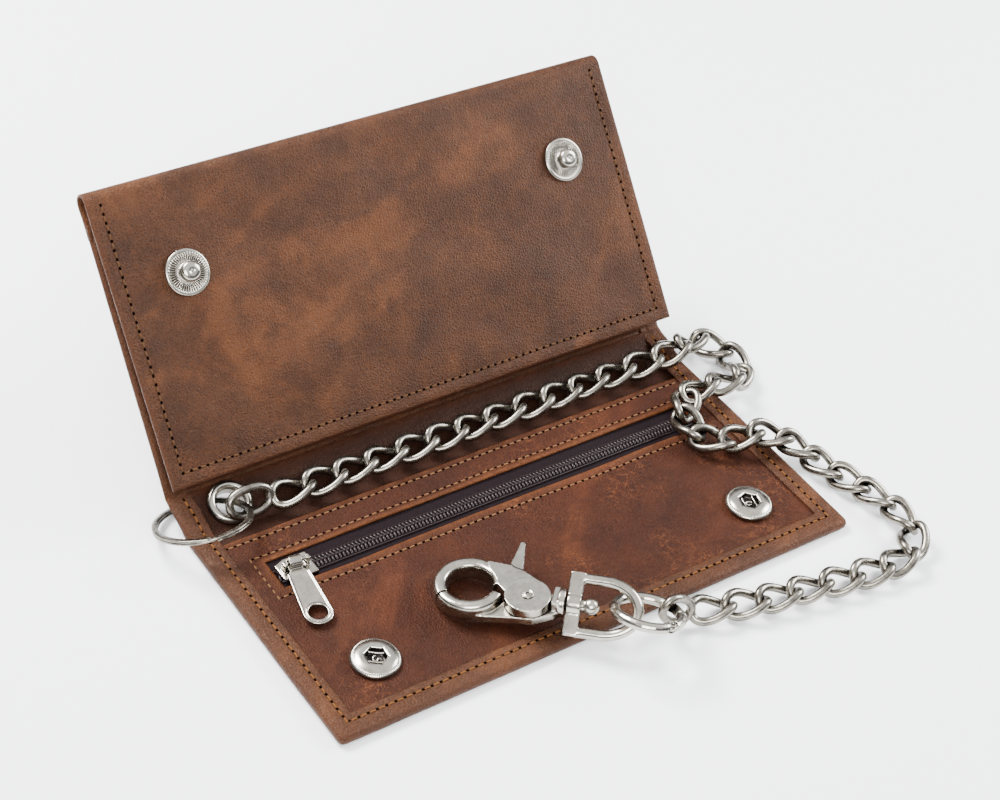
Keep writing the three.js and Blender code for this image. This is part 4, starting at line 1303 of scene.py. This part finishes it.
def smooth_route(points, per_span=24):
    """A centripetal curve through the route's points, as the tube in the frame follows it."""
    p = [Vector(q) for q in points]
    p = [p[0] * 2 - p[1]] + p + [p[-1] * 2 - p[-2]]
    out = []
    for a, b, c, d in zip(p, p[1:], p[2:], p[3:]):
        t0 = 0.0
        t1 = t0 + (b - a).length ** 0.5
        t2 = t1 + (c - b).length ** 0.5
        t3 = t2 + (d - c).length ** 0.5

        def between(first, second, start, end, t):
            return first * ((end - t) / (end - start)) + second * ((t - start) / (end - start))

        for k in range(per_span):
            t = t1 + (t2 - t1) * k / per_span
            middle = between(b, c, t1, t2, t)
            first = between(between(a, b, t0, t1, t), middle, t0, t2, t)
            second = between(middle, between(c, d, t2, t3, t), t1, t3, t)
            out.append(between(first, second, t1, t2, t))
    out.append(p[-2])
    return out


def curb_link(matrix, twist, sides=12, count=44):
    """An oval of round wire, twisted about its length so that it lies flat among its neighbours."""
    reach = (LINK_PITCH + LINK_WIRE) / 2
    half = (LINK_WIDTH - LINK_WIRE) / 2

    def at(k):
        turn = 2 * math.pi * k / count
        x = reach * math.copysign(abs(math.cos(turn)) ** 0.86, math.cos(turn))
        y = half * math.copysign(abs(math.sin(turn)) ** 0.8, math.sin(turn))
        roll = math.radians(twist) * x / reach
        return Vector((x, y * math.cos(roll), y * math.sin(roll)))

    rings = []
    for k in range(count):
        point = at(k)
        ahead = (at(k + 0.5) - at(k - 0.5)).normalized()
        outwards = point.normalized()
        normal = (outwards - ahead * outwards.dot(ahead)).normalized()
        ring = hoop(point, normal, ahead.cross(normal), LINK_WIRE / 2, LINK_WIRE / 2, sides)
        rings.append([matrix @ (p * MM) for p in ring])
    return sweep(rings, closed=True)


def make_chain():
    line = smooth_route(ROUTE)
    lengths = [0.0]
    for a, b in zip(line, line[1:]):
        lengths.append(lengths[-1] + (b - a).length)
    total = lengths[-1]
    middles, travelled = [], LINK_PITCH / 2
    while travelled < total - LINK_PITCH / 2:
        middles.append(travelled)
        tight = TIGHT_RUN[0] < travelled < TIGHT_RUN[1]
        travelled += TIGHT_PITCH if tight else LINK_PITCH
    stretch = (total - LINK_PITCH / 2) / middles[-1]
    middles = [m * stretch if m > LINK_PITCH else m for m in middles]

    def at(distance):
        distance = min(max(distance, 0.0), total - 1e-6)
        k = int(np.searchsorted(lengths, distance, "right")) - 1
        share = (distance - lengths[k]) / max(lengths[k + 1] - lengths[k], 1e-9)
        return line[k].lerp(line[k + 1], share)

    parts = []
    for k, middle in enumerate(middles):
        tangent = (at(middle + 4) - at(middle - 4)).normalized()
        side = Vector((0, 0, 1)).cross(tangent).normalized()
        loose = hump(middle / total - 0.5, 0.12)
        roll = math.radians(8 * math.sin(k * 1.7) + 26 * loose * math.sin(k * 2.1 + 0.6))
        basis = Matrix((tangent, side, tangent.cross(side))).transposed().to_4x4()
        place = Matrix.Translation(lay(*at(middle))) @ basis @ Matrix.Rotation(roll, 4, "X")
        parts.append(curb_link(place, LINK_TWIST))
    chain = make("chain_links", *gather(parts), STEEL)
    riders = []
    for name, tilt, roll in (("first_link", 0, 62), ("last_link", 43.7, 90)):
        low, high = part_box(f"chain_{name}")
        place = (Matrix.Translation((low + high) / 2) @ Matrix.Rotation(math.radians(tilt), 4, "Y")
                 @ Matrix.Rotation(math.radians(roll), 4, "X"))
        end = make(name, *curb_link(place, 0.0), STEEL)
        riders.append(slotted(end, f"chain_{name}", "base"))
    slotted(chain, "chain", "base")
    riders += [bpy.data.objects[name] for name in RIDERS]
    riders += [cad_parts[name] for name in ("gate_pin", "trigger_spring")]
    path = [tuple(lay(*at(total * k / 119))) for k in range(120)]


BEVELLED = ("socket_back_left", "socket_back_right", "stud_back_left", "stud_back_right",
            "eyelet_washer", "gate_pin")


def dress_nodes():
    """The metal nodes whose CAD shape is already right keep it, and get their plating."""
    for name in (*BEVELLED, "trigger_spring"):
        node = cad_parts[name]
        node.data.materials.clear()
        node.data.materials.append(NICKEL_NODE)
        if name in BEVELLED:
            bevel = node.modifiers.new("soft_edges", "BEVEL")
            bevel.width = 0.00012
            bevel.segments = 2
            bevel.limit_method = "ANGLE"


for step in (make_camera, make_studio, make_floor, make_cover, make_over, make_panel, make_zip,
             make_linings, make_stitches, make_snaps, make_eyelet, make_split_ring, make_hook,
             make_slider, make_chain, dress_nodes):
    step()
